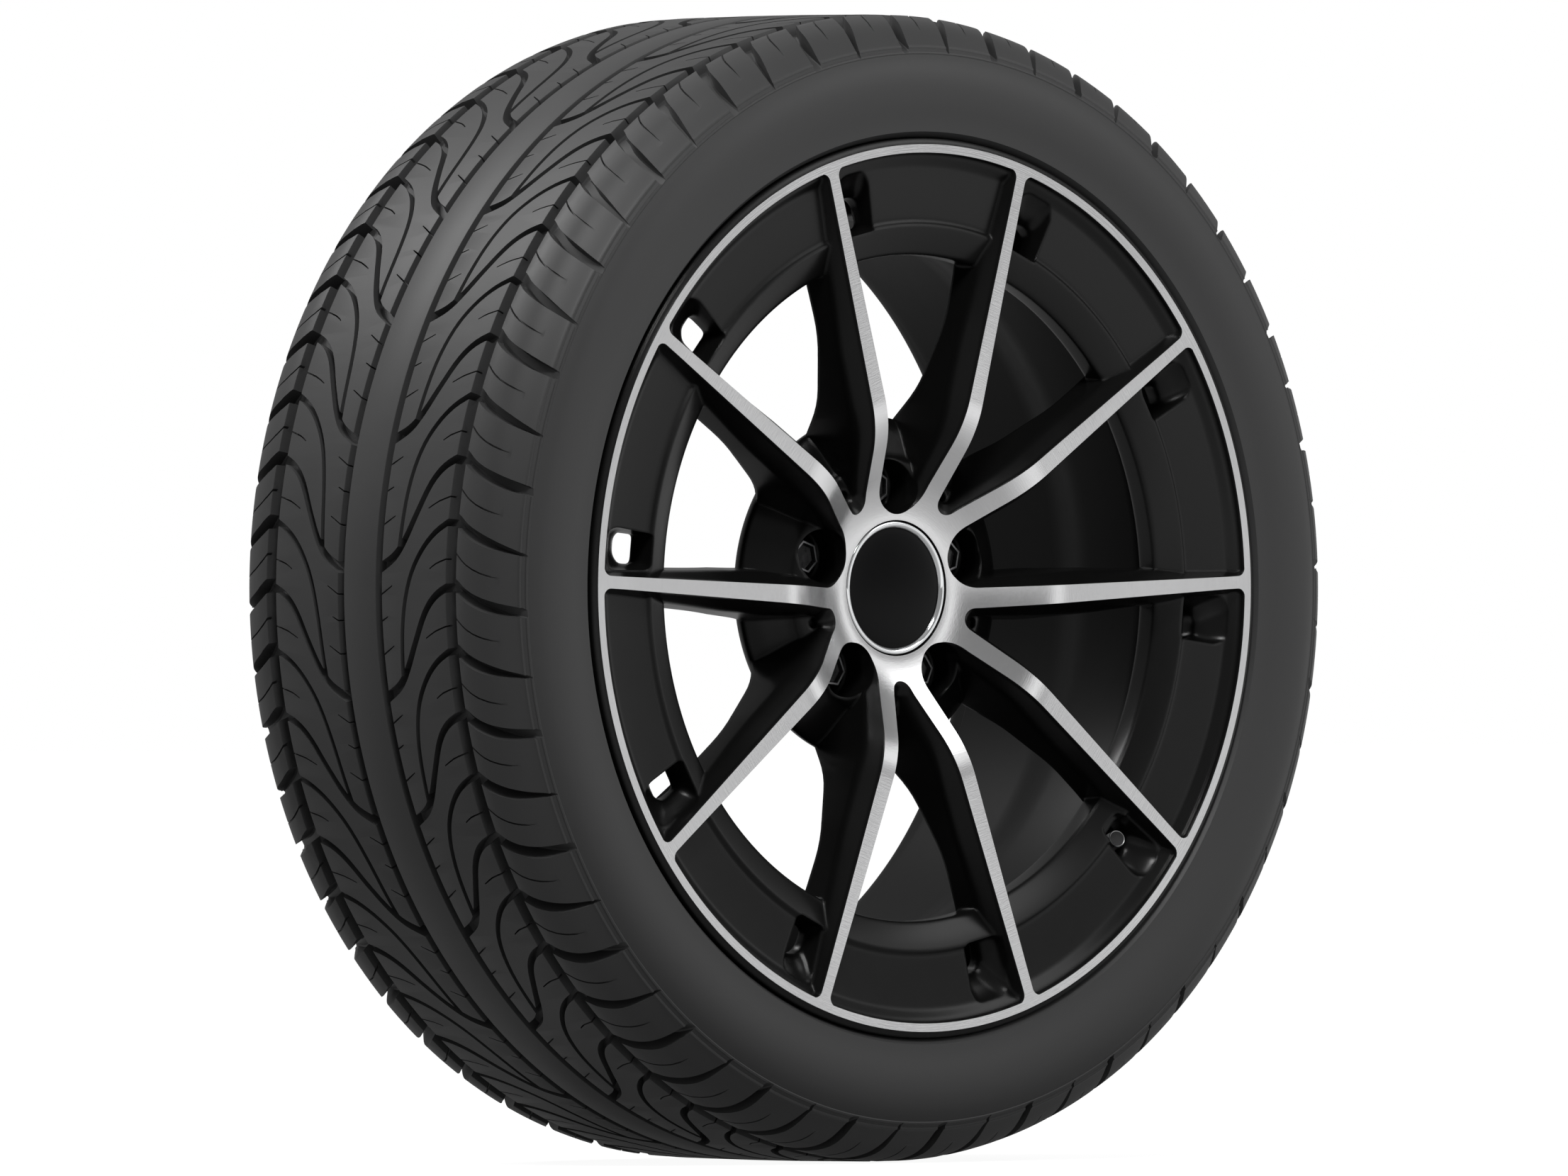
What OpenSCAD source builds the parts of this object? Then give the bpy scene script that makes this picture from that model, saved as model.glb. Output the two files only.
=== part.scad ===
// Alloy car wheel with its tyre, centre cap, wheel bolts and valve.
// The axle runs along Y, the outer face looks towards -Y and +Z is up.
// The origin is on the axle, midway between the two rim flanges.

/* [Rim] */
// diameter of the bead seats
bead_seat_d = 462; // [440:1:488]
// width between the rim flanges
rim_w = 203.2; // [190:0.1:228.6]
// height of a rim flange over its bead seat
flange_h = 17.5; // [16:0.1:19]
// width of a rim flange
flange_w = 12.7; // [11:0.1:14]
// radius of the drop centre on the tyre side
well_r = 212; // [206:0.5:216]
// thickness of the barrel wall
barrel_t = 6.5; // [5:0.1:9]

/* [Face] */
// width of the black lip outside the bright ring
lip_w = 3.5; // [2:0.1:6]
// width of the bright ring
ring_w = 4.6; // [3:0.1:8]
// depth of the hub star below the ring, at the cap
hub_sink = 25.8; // [20:0.1:32]
// radius inside which the spokes dive to the hub
dive_r = 110; // [100:1:120]
// steepness of the dive
dive_slope = 0.54; // [0.4:0.01:0.6]

/* [Spokes] */
// angle of a spoke to the middle of its narrow gap
spoke_angle = 20.8; // [20:0.1:21.6]
// distance of a spoke centre line from the axle
spoke_miss = 8.3; // [7:0.1:9]
// width of the bright face at the rim
face_w_rim = 6.8; // [5.5:0.1:8]
// width of the bright face at the hub
face_w_hub = 11; // [9:0.1:12]
// width of the sloping facet beside the bright face, at mid spoke
facet_w = 7; // [5:0.1:8]
// corner radius where a spoke meets the ring
corner_r = 5; // [4:0.1:6]

/* [Panels] */
// inner radius of the sunken panels
panel_r = 201.8; // [198:0.1:206]
// depth of a panel below the ring
panel_sink = 5.4; // [4:0.1:7]
// radius of the window openings
window_r = 184; // [178:0.1:190]
// depth of the lip round the openings below the ring
window_sink = 12.6; // [10:0.1:16]

/* [Hub] */
// distance of the mounting face from the rim centre plane
offset_et = 44; // [38:0.1:50]
// diameter of the centre bore
bore_d = 66.6; // [57.1:0.1:72.6]
// bolt circle diameter
bolt_circle = 112; // [108:0.1:114.3]
// number of wheel bolts
bolt_count = 5; // [5:1:5]
// diameter of the bolt thread
bolt_d = 14; // [12:0.1:14]
// how far the bolt threads stand out of the mounting face
bolt_reach = 12.5; // [10:0.5:14]
// size of the bolt hexagon across its flats
bolt_hex = 17; // [15:1:19]
// radius of the hub core between the spokes
core_r = 72.2; // [70.5:0.1:74]
// diameter of the centre cap
cap_d = 74.6; // [70:0.1:76]

/* [Tyre] */
// outer diameter of the tyre
tyre_d = 635.4; // [628:0.1:645]
// width of the tyre over its sidewalls
tyre_w = 234; // [228:0.1:240]
// depth of the tread grooves
groove_depth = 7.5; // [5:0.1:8]
// number of shoulder blocks round the tyre
pitches = 56; // [52:2:60]
// half width of the centre rib
centre_rib = 13.1; // [11:0.1:15]
// distance of the shoulder grooves from the middle of the tread
shoulder_at = 70; // [66:0.5:73]

/* [Valve] */
// angle of the valve round the face
valve_angle = 318.4; // [318:0.1:319]
// distance of the valve foot from the axle
valve_r = 223; // [221:0.1:224]
// lean of the valve towards the axle
valve_lean = 25; // [22:0.5:27]

/* [Hidden] */
bead_r = bead_seat_d / 2;
lip_r = bead_r + flange_h;
ring_out = lip_r - lip_w;
ring_in = ring_out - ring_w;
half_w = rim_w / 2 + flange_w;
seat_h = rim_w / 2;
well_h = 65.8;
well_foot = bead_r - 1.5;
tyre_r = tyre_d / 2;
tyre_u = tyre_w / 2;
floor_r = tyre_r - groove_depth;
pitch_angle = 360 / pitches;
pitch_len = 2 * PI * tyre_r / pitches;
bolt_r = bolt_circle / 2;
bore_r = bore_d / 2;
cap_r = cap_d / 2;
cap_h = half_w - hub_sink;
ball_r = 14;
ball_h = offset_et + 22.3;
bolt_front = offset_et + 28.9;
gap_axes = [for (i = [0:4]) 54 + 72 * i];
bolt_axes = [for (i = [0:4]) 90 + 72 * i];
well_wall = 25;
shoulder_slope = 21;
clear = 0.02;
pin_r = 0.55;
spring_foot = 13.4;
spring_len = 6;

$fn = 96;

// Frames

// turns a shape drawn with its axle along Z, face up, into the wheel frame
module to_wheel() {
  rotate([90, 0, 0]) children();
}

// puts a shape drawn along Z on the valve axis, its foot on the barrel wall
module to_valve() {
  foot_h = well_foot_h(valve_r);
  to_wheel() rotate([0, 0, valve_angle]) translate([valve_r, 0, foot_h])
    rotate([0, -valve_lean, 0]) children();
}

// height of the sloping barrel wall, on the tyre side, at a radius
function well_foot_h(r) = well_h + (r - well_r) * tan(well_wall);

// Face shape

// depth of the bright face below the ring at a radius
arc_r = (dive_r - 82) / sin(atan(dive_slope));
arc_end = arc_r * (1 - cos(atan(dive_slope)));
line_end = arc_end + 22 * dive_slope;
function face_sink(r) =
  r >= dive_r ? 0 :
  r >= 82 ? arc_r - sqrt(arc_r * arc_r - (dive_r - r) * (dive_r - r)) :
  r >= 60 ? arc_end + (82 - r) * dive_slope :
  line_end + (hub_sink - line_end) * (1 - pow(max(0, (r - cap_r)) / (60 - cap_r), 1.6));

function blend(a, b, t) = a + (b - a) * max(0, min(1, t));

// half width of the bright face at a radius
function half_face(r) = blend(face_w_hub, face_w_rim, (r - 60) / 165) / 2;

// how far a window narrows on each side, from level 0 at the face to level 3 at the back
function inset(level, r) =
  level == 0 ? 0 :
  level == 1 ? 0.5 :
  level == 2 ? blend(4.5, facet_w, (r - 60) / 50) - blend(0, facet_w - 3.2, (r - 140) / 90) :
  blend(7, facet_w + 3.5, (r - 60) / 50) - blend(0, facet_w - 3.2, (r - 140) / 90);

// depth of each level below the face
function level_sink(level, r) =
  level == 1 ? 2 : blend(8, 12, (r - 60) / 50) - blend(0, 4, (r - 160) / 70);

// Windows

// distance of a window side from the axle, narrow gap or bolt window
function side_miss(narrow, level, r) =
  (narrow ? -spoke_miss : spoke_miss) - half_face(r) - inset(level, r);

function side_angle(narrow) = narrow ? spoke_angle : 36 - spoke_angle;

// one half of a window outline, from the middle of the ring to the middle of the hub end
function half_outline(narrow, level) =
  let (
    a = side_angle(narrow),
    hub_c = narrow ? 58 + level * 3 : 59.5 + level * 2,
    hub_arc = hub_c * sin(a) + side_miss(narrow, level, hub_c),
    out_r = ring_in + 0.2 - (level > 1 ? 1 : 0),
    corner_c = out_r - corner_r,
    corner_a = a + asin((side_miss(narrow, level, corner_c) - corner_r) / corner_c)
  )
  concat(
    [for (t = [0:3]) polar(out_r, corner_a * t / 4)],
    [for (t = [0:3]) polar(corner_c, corner_a) + polar(corner_r, blend(corner_a, 90 + a, t / 3))],
    [for (r = [210, 180, 150, 125, 105, 90, 76]) polar(r, a + asin(side_miss(narrow, level, r) / r))],
    [for (t = [0:3]) [hub_c, 0] + polar(hub_arc, 90 + a + (90 - a) * t / 4)]
  );

function polar(r, a) = [r * cos(a), r * sin(a)];

// the whole outline, its first and last points on the middle line
function outline(narrow, level) =
  let (
    half = half_outline(narrow, level),
    n = len(half),
    a = side_angle(narrow),
    hub_c = narrow ? 58 + level * 3 : 59.5 + level * 2,
    hub_arc = hub_c * sin(a) + side_miss(narrow, level, hub_c)
  )
  concat(
    half,
    [[hub_c - hub_arc, 0]],
    [for (i = [n - 1:-1:1]) [half[i][0], -half[i][1]]]
  );

// a window cutter: rings of points joined by triangles
module window_cutter(narrow) {
  top = half_w + 6;
  floor_level = 30;
  rings = [for (level = [0:3]) outline(narrow, level)];
  n = len(rings[0]);
  points = concat(
    [for (p = rings[0]) [p[0], p[1], top]],
    [for (p = rings[0]) [p[0], p[1], half_w - face_sink(norm(p)) + 0.2]],
    [for (p = rings[1]) [p[0], p[1], half_w - face_sink(norm(p)) - level_sink(1, norm(p))]],
    [for (p = rings[2]) [p[0], p[1], half_w - face_sink(norm(p)) - level_sink(2, norm(p))]],
    [for (p = rings[3]) [p[0], p[1], floor_level]],
    [[130, 0, top], [130, 0, floor_level]]
  );
  walls = [
    for (k = [0:3]) for (i = [0:n - 1])
      let (j = (i + 1) % n)
        each [[k * n + i, (k + 1) * n + i, k * n + j], [k * n + j, (k + 1) * n + i, (k + 1) * n + j]]
  ];
  lids = [
    for (i = [0:n - 1])
      let (j = (i + 1) % n)
        each [[5 * n, i, j], [5 * n + 1, 4 * n + j, 4 * n + i]]
  ];
  polyhedron(points, [for (f = concat(walls, lids)) [f[2], f[1], f[0]]]);
}

// Alloy wheel

// section of the barrel with its flanges, bead seats, well, panel shelf and window lip
module rim_section() {
  h = half_w;
  s = seat_h;
  seat = bead_r - 0.8;
  wall_in = barrel_t;
  polygon([
    [ring_in, h], [ring_out, h], [ring_out + 0.4, h - 0.7], [lip_r - 0.6, h - 1.3],
    [lip_r, h - 2.4], [lip_r, s + 4.5], [lip_r - 1.8, s + 1.4], [lip_r - 5, s],
    [bead_r + 3, s], [bead_r, s - 2.8], [seat, s - 20], [bead_r + 0.4, s - 23],
    [bead_r + 0.2, s - 25.5], [well_foot, well_foot_h(well_foot)], [well_r, well_h],
    [well_r, 20], [well_r + 9, -4], [well_r + 9, 27 - s], [seat, 23 - s],
    [bead_r + 0.4, 22 - s], [seat, 20 - s], [bead_r, 2.8 - s], [bead_r + 3, -s],
    [lip_r - 5, -s], [lip_r - 1.8, -s - 1.4], [lip_r, -s - 4.5], [lip_r, 2.4 - h],
    [lip_r - 1.5, -h], [lip_r - 7, -h], [lip_r - 11, 2.5 - h], [bead_r - 6, 17 - h],
    [bead_r - 8.5, 30 - s], [well_r + 9 - wall_in, 24 - s - 2], [well_r + 9 - wall_in, -6],
    [well_r - wall_in, 18], [well_r - wall_in, well_h + 3.2], [bead_r - 9, well_h + 11],
    [bead_r - 8, s - 18], [bead_r - 15, s - 12], [panel_r + 2, s - 10], [window_r + 5, s - 15],
    [window_r + 1.5, s - 14.5], [window_r, s - 12], [window_r, h - window_sink - 1],
    [window_r + 1, h - window_sink], [panel_r, h - panel_sink - 2.9], [ring_in - 2.6, h - panel_sink],
    [ring_in - 1.2, h - panel_sink + 0.8]
  ]);
}

// section of the disc that the spokes and the hub are cut from
module disc_section() {
  radii = [cap_r - 1, 40, 46, 52, 60, 71, 82, 87, 92, 98, 104, dive_r];
  front = [for (r = radii) [r, half_w - face_sink(r)]];
  polygon(concat(
    [[bore_r - 1, cap_h]], front,
    [[ring_in + 2.4, half_w], [ring_in + 2.4, half_w - 8], [bead_r - 4, half_w - 16],
     [bead_r - 4, well_h + 13.5], [bead_r - 12, well_h + 10], [window_r, well_h + 12], [150, well_h + 9],
     [112, well_h - 2], [86, offset_et + 8], [76, offset_et + 1], [73, offset_et],
     [bore_r - 1, offset_et]]
  ));
}

// section of the hub core that shows between the spokes and holds the bolts
module core_section() {
  polygon([
    [bore_r - 1, offset_et], [core_r + 1.3, offset_et], [core_r + 2.8, offset_et + 1.5], [core_r + 0.3, cap_h - 8],
    [core_r - 1, cap_h - 5.4], [core_r - 8, cap_h - 2.2], [bore_r - 1, cap_h - 1.8]
  ]);
}

// section taken out of the hub for the cap and the centre bore
module hub_section() {
  polygon([
    [0, offset_et - 1], [bore_r + 2, offset_et - 1], [bore_r, offset_et + 1.5],
    [bore_r, offset_et + 16], [bore_r + 1.6, offset_et + 16], [bore_r + 1.6, cap_h - 16.2],
    [bore_r + 0.3, cap_h - 15],
    [bore_r + 0.3, cap_h - 7], [cap_r + 0.3, cap_h - 7], [cap_r + 0.3, cap_h + 8], [0, cap_h + 8]
  ]);
}

// the pocket and the slot beside a spoke, drawn on the +X axis
module corner_pocket(with_slot) {
  top_h = half_w + 1;
  floor_h = half_w - 18.4;
  slot_in = panel_r + 3.6;
  slot_out = slot_in + 12.6;
  side = 8.1;
  top_out = ring_in - 5.4;
  points = [
    [slot_in - 1.2, -side - 5.6, top_h], [top_out - 2, -side - 6.4, top_h], [top_out, -side - 4, top_h],
    [top_out, side + 1.6, top_h], [top_out - 2, side + 3.8, top_h], [slot_in - 1.2, side + 2.6, top_h],
    [slot_in, -side, floor_h], [slot_out - 2, -side, floor_h], [slot_out, -side + 2, floor_h],
    [slot_out, side - 2, floor_h], [slot_out - 2, side, floor_h], [slot_in, side, floor_h]
  ];
  polyhedron(points, [
    [5, 4, 3, 2, 1, 0], [6, 7, 8, 9, 10, 11],
    for (i = [0:5]) let (j = (i + 1) % 6) each [[i, j, 6 + i], [j, 6 + j, 6 + i]]
  ]);
  if (with_slot) translate([0, 0, floor_h - 14]) linear_extrude(16) polygon([
    [slot_in, -side], [slot_out - 2, -side], [slot_out, -side + 2],
    [slot_out, side - 2], [slot_out - 2, side], [slot_in, side]
  ]);
}

module alloy_wheel() {
  color("#2b2b2c") difference() {
    union() {
      to_wheel() rotate_extrude() rim_section();
      to_wheel() difference() {
        rotate_extrude() disc_section();
        for (a = gap_axes) rotate([0, 0, a]) window_cutter(true);
        for (a = bolt_axes) rotate([0, 0, a]) window_cutter(false);
      }
      to_wheel() rotate_extrude() core_section();
    }
    to_wheel() for (a = gap_axes) rotate([0, 0, a]) translate([core_r - 9.5, 0, cap_h - 8])
      cylinder(r = 3, h = 12);
    to_wheel() rotate_extrude() hub_section();
    to_wheel() for (a = bolt_axes) rotate([0, 0, a]) translate([bolt_r, 0, 0]) bolt_seat();
    to_wheel() for (i = [0:9]) rotate([0, 0, slot_angle(i)]) corner_pocket(true);
    to_valve() {
      translate([0, 0, -20]) cylinder(r = 5.75, h = 60);
      translate([0, 0, -12]) cylinder(r = 10, h = 12.5);
      translate([0, 0, barrel_t - 0.5]) cylinder(r = 10.5, h = 10);
    }
  }
}

// angle of each slot, just clockwise of a spoke
function slot_angle(i) = 36 * i + (i % 2 == 0 ? -5.4 : -5.9) + (i == 9 ? 0.3 : 0);

// the hole, ball seat and socket of one wheel bolt
module bolt_seat() {
  translate([0, 0, offset_et - 1]) cylinder(d = bolt_d + 1, h = 20);
  translate([0, 0, ball_h]) sphere(r = ball_r);
  translate([0, 0, ball_h - 8]) cylinder(r = 15.2, h = 60);
}

// Tyre

// outer half section from the middle of the tread to the rim, as [across, radius]
function tyre_outside() =
  let (r = tyre_r, u = tyre_u, c = centre_rib, g = shoulder_at)
  [
    [0, r], [c, r], [c + 0.6, floor_r], [c + 4.4, floor_r], [c + 5, r], [g, r - 0.5], [g + 0.8, floor_r],
    [g + 7.2, floor_r], [g + 8, r - 0.8], [u - 33, r - 1], [u - 21, r - 4.8],
    [u - 12, r - 12.6], [u - 5.6, r - 21], [u - 2.8, r - 26.5], [u - 0.8, r - 33],
    [u, r - 40], [u - 0.6, r - 49], [u - 2.4, r - 57.5], [half_w - 1, lip_r + 3.5],
    [half_w - 4.5, lip_r + 0.7], [seat_h + 4.3, lip_r + 0.3], [seat_h + 1.1, lip_r - 1.6],
    [seat_h - 0.3, lip_r - 4.9], [seat_h - 0.3, bead_r + 3.3], [seat_h - 2.9, bead_r + 0.3],
    [seat_h - 17, bead_r - 0.35], [seat_h - 18, bead_r + 0.8]
  ];

// inner half section, from the bead toe to the middle
function tyre_inside() =
  let (r = tyre_r, u = tyre_u)
  [
    [seat_h - 16, bead_r + 12], [seat_h - 3, lip_r + 4], [seat_h + 4, lip_r + 16], [u - 8.5, r - 42],
    [u - 12, r - 29], [u - 20, r - 21], [u - 33, r - 15.5], [60, r - 13.2], [0, r - 13]
  ];

module tyre_section() {
  half = concat(tyre_outside(), tyre_inside());
  n = len(half);
  polygon(concat(
    [for (p = half) [p[1], p[0]]],
    [for (i = [n - 2:-1:1]) [half[i][1], -half[i][0]]]
  ));
}

// the band between two edges that follow a line of [across, along, width]
function ribbon(line) = concat(
  [for (i = [0:len(line) - 1]) ribbon_edge(line, i, 1)],
  [for (i = [len(line) - 1:-1:0]) ribbon_edge(line, i, -1)]
);

function ribbon_edge(line, i, side) =
  let (
    a = line[max(0, i - 1)],
    b = line[min(len(line) - 1, i + 1)],
    d = [b[0] - a[0], b[1] - a[1]],
    n = [-d[1], d[0]] / norm(d)
  )
  [line[i][1] + side * n[1] * line[i][2] / 2, line[i][0] + side * n[0] * line[i][2] / 2];

// a groove cutter that points out of the tread, at an angle round the tyre
module groove(angle, line) {
  middle = (line[0][1] + line[len(line) - 1][1]) / 2;
  flat_line = [for (p = line) [p[0], p[1] - middle, p[2]]];
  rotate([90, 0, angle + 90 + middle / tyre_r * 180 / PI]) translate([0, 0, floor_r])
    linear_extrude(groove_depth + 4) polygon(ribbon(flat_line));
}

// a groove cutter whose floor slopes down over the shoulder and runs out there
module shoulder_cut(angle, side) {
  line = [for (p = shoulder_groove) [side * p[0], p[1], p[2]]];
  rotate([90, 0, angle + 90]) translate([0, side * (shoulder_at + 4), floor_r])
    rotate([-side * shoulder_slope, 0, 0]) linear_extrude(24) polygon(ribbon(line));
}

// the long groove from the shoulder to the centre groove
long_groove = [
  [74, -1.6, 4.6], [62, 4.2, 4.2], [53, 13.5, 3.9], [44, 30, 3.7], [36, 44.5, 4], [28, 54, 4.8], [15.6, 61, 5.6]
];
// the short groove that runs into the long one
short_groove = [
  [74, -38, 3.6], [60, -30.4, 3.2], [49, -19.5, 2.9], [40.5, -4.5, 2.7], [35, 17, 2.6], [31.6, 49, 2.6]
];
// the groove across a shoulder, measured from the shoulder groove
shoulder_groove = [[-1, -1.6, 4.2], [12, 0.6, 4], [25, 5, 3.4], [40, 13, 2.4]];

// the same line on the other side of the tread
function mirrored(line) = [for (p = line) [-p[0], p[1], p[2]]];

module cross_grooves() {
  for (i = [0:pitches / 2 - 1]) {
    a = i * 2 * pitch_angle;
    groove(a, long_groove);
    groove(a, mirrored(long_groove));
    groove(a, short_groove);
    groove(a, mirrored(short_groove));
  }
  for (i = [0:pitches - 1], side = [-1, 1]) shoulder_cut(i * pitch_angle, side);
}

module tyre() {
  color("#3a3a3b") to_wheel() difference() {
    rotate_extrude() tyre_section();
    cross_grooves();
  }
}

// Wheel bolts

module wheel_bolt() {
  translate([0, 0, offset_et - bolt_reach]) cylinder(d = bolt_d - 0.4, h = bolt_reach - clear);
  translate([0, 0, offset_et - clear]) cylinder(d = bolt_d + 0.2, h = 12);
  intersection() {
    translate([0, 0, ball_h]) sphere(r = ball_r - clear);
    translate([0, 0, offset_et + 9]) cylinder(r = 11.4, h = 5.6);
  }
  translate([0, 0, ball_h - 8]) cylinder(r = 11.4, h = 2.8);
  difference() {
    translate([0, 0, ball_h - 6]) cylinder(d = bolt_hex / cos(30), h = bolt_front - ball_h + 6, $fn = 6);
    translate([0, 0, bolt_front - 3]) cylinder(r = 4.6, h = 4);
  }
}

module wheel_bolts() {
  color("#1d1d1e") to_wheel()
    for (a = bolt_axes) rotate([0, 0, a]) translate([bolt_r, 0, 0]) wheel_bolt();
}

// Centre cap

module cap_body() {
  color("#202021") to_wheel() difference() {
    union() {
      translate([0, 0, cap_h - 7 + clear]) cylinder(r = cap_r - 0.2, h = 2.2);
      translate([0, 0, cap_h - 7 + clear]) cylinder(r = cap_r - 4.4, h = 4);
      difference() {
        translate([0, 0, cap_h - 20]) cylinder(r = bore_r - 0.3, h = 14);
        translate([0, 0, cap_h - 21]) cylinder(r = bore_r - 2.4, h = 14.6);
      }
      rotate_extrude() polygon([
        [bore_r - 1, cap_h - 19], [bore_r + 0.9, cap_h - 18.4], [bore_r + 0.9, cap_h - 17.2],
        [bore_r - 1, cap_h - 15.4]
      ]);
    }
    for (a = [0:45:315]) rotate([0, 0, a]) translate([bore_r - 4, -3.5, cap_h - 22]) cube([12, 7, 14]);
  }
}

module cap_trim_ring() {
  color("#d8d9da") to_wheel() rotate_extrude() polygon([
    [cap_r - 4.2, cap_h - 4.6], [cap_r - 0.1, cap_h - 4.6], [cap_r, cap_h - 1.6], [cap_r - 0.6, cap_h - 0.4],
    [cap_r - 1.8, cap_h], [cap_r - 3.2, cap_h - 0.5], [cap_r - 4.2, cap_h - 1.8]
  ]);
}

module cap_face_disc() {
  color("#0c0c0d") to_wheel() rotate_extrude() polygon([
    [0, cap_h - 2.9], [cap_r - 4.4, cap_h - 2.9], [cap_r - 4.3, cap_h - 1.9],
    [24, cap_h - 0.9], [15, cap_h - 0.2], [6, cap_h + 0.2], [0, cap_h + 0.25]
  ]);
}

// the wire ring that presses the cap legs outwards
module cap_spring_ring() {
  color("#9a9c9f") to_wheel() translate([0, 0, cap_h - 17]) difference() {
    rotate_extrude() translate([bore_r - 3.4, 0]) circle(r = 1, $fn = 24);
    translate([0, -2.5, -2]) cube([40, 5, 4]);
  }
}

// Valve

module valve_stem() {
  color("#8f9296") to_valve() difference() {
    union() {
      translate([0, 0, -6]) cylinder(r = 7.6, h = 3.5);
      translate([0, 0, -6]) cylinder(r = 4, h = 24);
      translate([0, 0, 17.9]) cylinder(r = 3.8, h = 11.1);
    }
    translate([0, 0, 9]) cylinder(r = 2.1, h = 21);
    translate([0, 0, 0]) cylinder(r = 1.3, h = 30);
    translate([0, 0, -7]) cylinder(r = 1.25, h = 6.5);
  }
}

module valve_grommet() {
  color("#161616") to_valve() difference() {
    union() {
      translate([0, 0, -2.5 + clear]) cylinder(r = 8.2, h = 3 - 2 * clear);
      cylinder(r = 5.6, h = 4);
    }
    translate([0, 0, -3]) cylinder(r = 4 + clear, h = 8);
  }
}

module valve_washer() {
  color("#a5a7aa") to_valve() translate([0, 0, barrel_t - 0.5 + clear]) difference() {
    cylinder(r = 7.5, h = 1.2);
    translate([0, 0, -1]) cylinder(r = 4 + clear, h = 4);
  }
}

module valve_nut() {
  color("#9b9da0") to_valve() translate([0, 0, barrel_t + 0.7 + 2 * clear]) difference() {
    cylinder(d = 12 / cos(30), h = 5, $fn = 6);
    translate([0, 0, -1]) cylinder(r = 4 + clear, h = 8);
  }
}

module valve_core_barrel() {
  color("#b08d4a") to_valve() difference() {
    union() {
      translate([0, 0, 20]) cylinder(r = 2.1 - clear, h = 7.4);
      translate([0, 0, 10]) cylinder(r = 1.7, h = 11);
    }
    translate([0, 0, spring_foot]) cylinder(r = 1.05, h = 10);
    translate([0, 0, 9]) cylinder(r = pin_r + 0.05, h = 20);
  }
}

module valve_core_pin() {
  color("#c9a45c") to_valve() {
    translate([0, 0, 8.4]) cylinder(r = pin_r, h = 19.2);
    translate([0, 0, 8.4]) cylinder(r = 1, h = 0.8);
    translate([0, 0, spring_foot + spring_len]) cylinder(r = 0.98, h = 0.8);
  }
}

// the spring between the barrel floor and the collar of the pin
module valve_core_spring() {
  color("#b9bbbd") to_valve() translate([0, 0, spring_foot]) difference() {
    cylinder(r = 0.95, h = spring_len);
    translate([0, 0, -1]) cylinder(r = pin_r + 0.1, h = spring_len + 2);
  }
}

module valve_core_seal() {
  color("#a33a2c") to_valve() translate([0, 0, 9.2]) difference() {
    cylinder(r = 1.25, h = 0.78);
    translate([0, 0, -1]) cylinder(r = pin_r, h = 3);
  }
}

module valve_cap() {
  color("#85888c") to_valve() difference() {
    translate([0, 0, 19]) cylinder(r = 5, h = 12.5);
    translate([0, 0, 18]) cylinder(r = 3.8 + 0.04, h = 12);
    translate([0, 0, 30.8]) cylinder(r = 4.1, h = 2);
  }
}

module valve_cap_seal() {
  color("#151515") to_valve() translate([0, 0, 29 + clear]) difference() {
    cylinder(r = 3.7, h = 1 - 2 * clear);
    translate([0, 0, -1]) cylinder(r = 2.4, h = 3);
  }
}

module valve_cap_disc() {
  color("#0d0d0e") to_valve() translate([0, 0, 30.8 + clear]) cylinder(r = 4.05, h = 0.8);
}

module pressure_sensor() {
  color("#232324") to_valve() difference() {
    union() {
      translate([-11, -9, -10.5]) cube([19, 18, 4.5 - clear]);
      translate([-13, -26, -22]) cube([20, 52, 12]);
    }
    translate([0, 0, -11]) cylinder(r = 1.6, h = 8);
    translate([0, 0, -23]) cylinder(r = 3.2, h = 13.7);
  }
}

module sensor_screw() {
  color("#b4b6b8") to_valve() {
    translate([0, 0, -9.3 - 2.4 - clear]) cylinder(r = 2.8, h = 2.4);
    translate([0, 0, -10]) cylinder(r = 1.2, h = 8);
  }
}

alloy_wheel();
tyre();
wheel_bolts();
cap_body();
cap_trim_ring();
cap_face_disc();
cap_spring_ring();
valve_stem();
valve_grommet();
valve_washer();
valve_nut();
valve_core_barrel();
valve_core_pin();
valve_core_spring();
valve_core_seal();
valve_cap();
valve_cap_seal();
valve_cap_disc();
pressure_sensor();
sensor_screw();
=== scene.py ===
import logging
import math
from dataclasses import dataclass
from enum import Enum
from typing import Callable, Sequence

import bmesh
import bpy
import numpy as np
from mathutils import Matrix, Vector


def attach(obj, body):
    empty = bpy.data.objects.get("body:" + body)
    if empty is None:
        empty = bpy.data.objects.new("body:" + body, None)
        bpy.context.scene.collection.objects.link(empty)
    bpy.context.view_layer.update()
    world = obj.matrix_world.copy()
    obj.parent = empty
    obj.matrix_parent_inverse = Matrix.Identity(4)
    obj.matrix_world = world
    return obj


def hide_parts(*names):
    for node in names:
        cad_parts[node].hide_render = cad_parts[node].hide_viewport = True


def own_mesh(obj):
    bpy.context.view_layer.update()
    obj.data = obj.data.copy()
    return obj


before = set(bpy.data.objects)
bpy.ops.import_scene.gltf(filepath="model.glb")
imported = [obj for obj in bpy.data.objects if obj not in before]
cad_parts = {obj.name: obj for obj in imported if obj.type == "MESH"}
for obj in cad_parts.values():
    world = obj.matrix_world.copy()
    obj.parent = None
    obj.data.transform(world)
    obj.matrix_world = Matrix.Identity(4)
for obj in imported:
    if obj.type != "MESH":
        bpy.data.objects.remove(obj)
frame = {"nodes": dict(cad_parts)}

LOG = logging.getLogger("wheel")
MM = 0.001
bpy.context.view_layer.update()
WELL_WALL = math.tan(math.radians(25))  # slope of the wall that the valve stands in
PAIRS = 5  # pairs of spokes, and bolts
NARROW_AT = 54.0  # angle of the first narrow window, in degrees
BOLT_AT = 90.0  # angle of the first bolt, in degrees
BALL_RISE = 22.3  # centre of a bolt's ball seat over the mounting face, in mm

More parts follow.
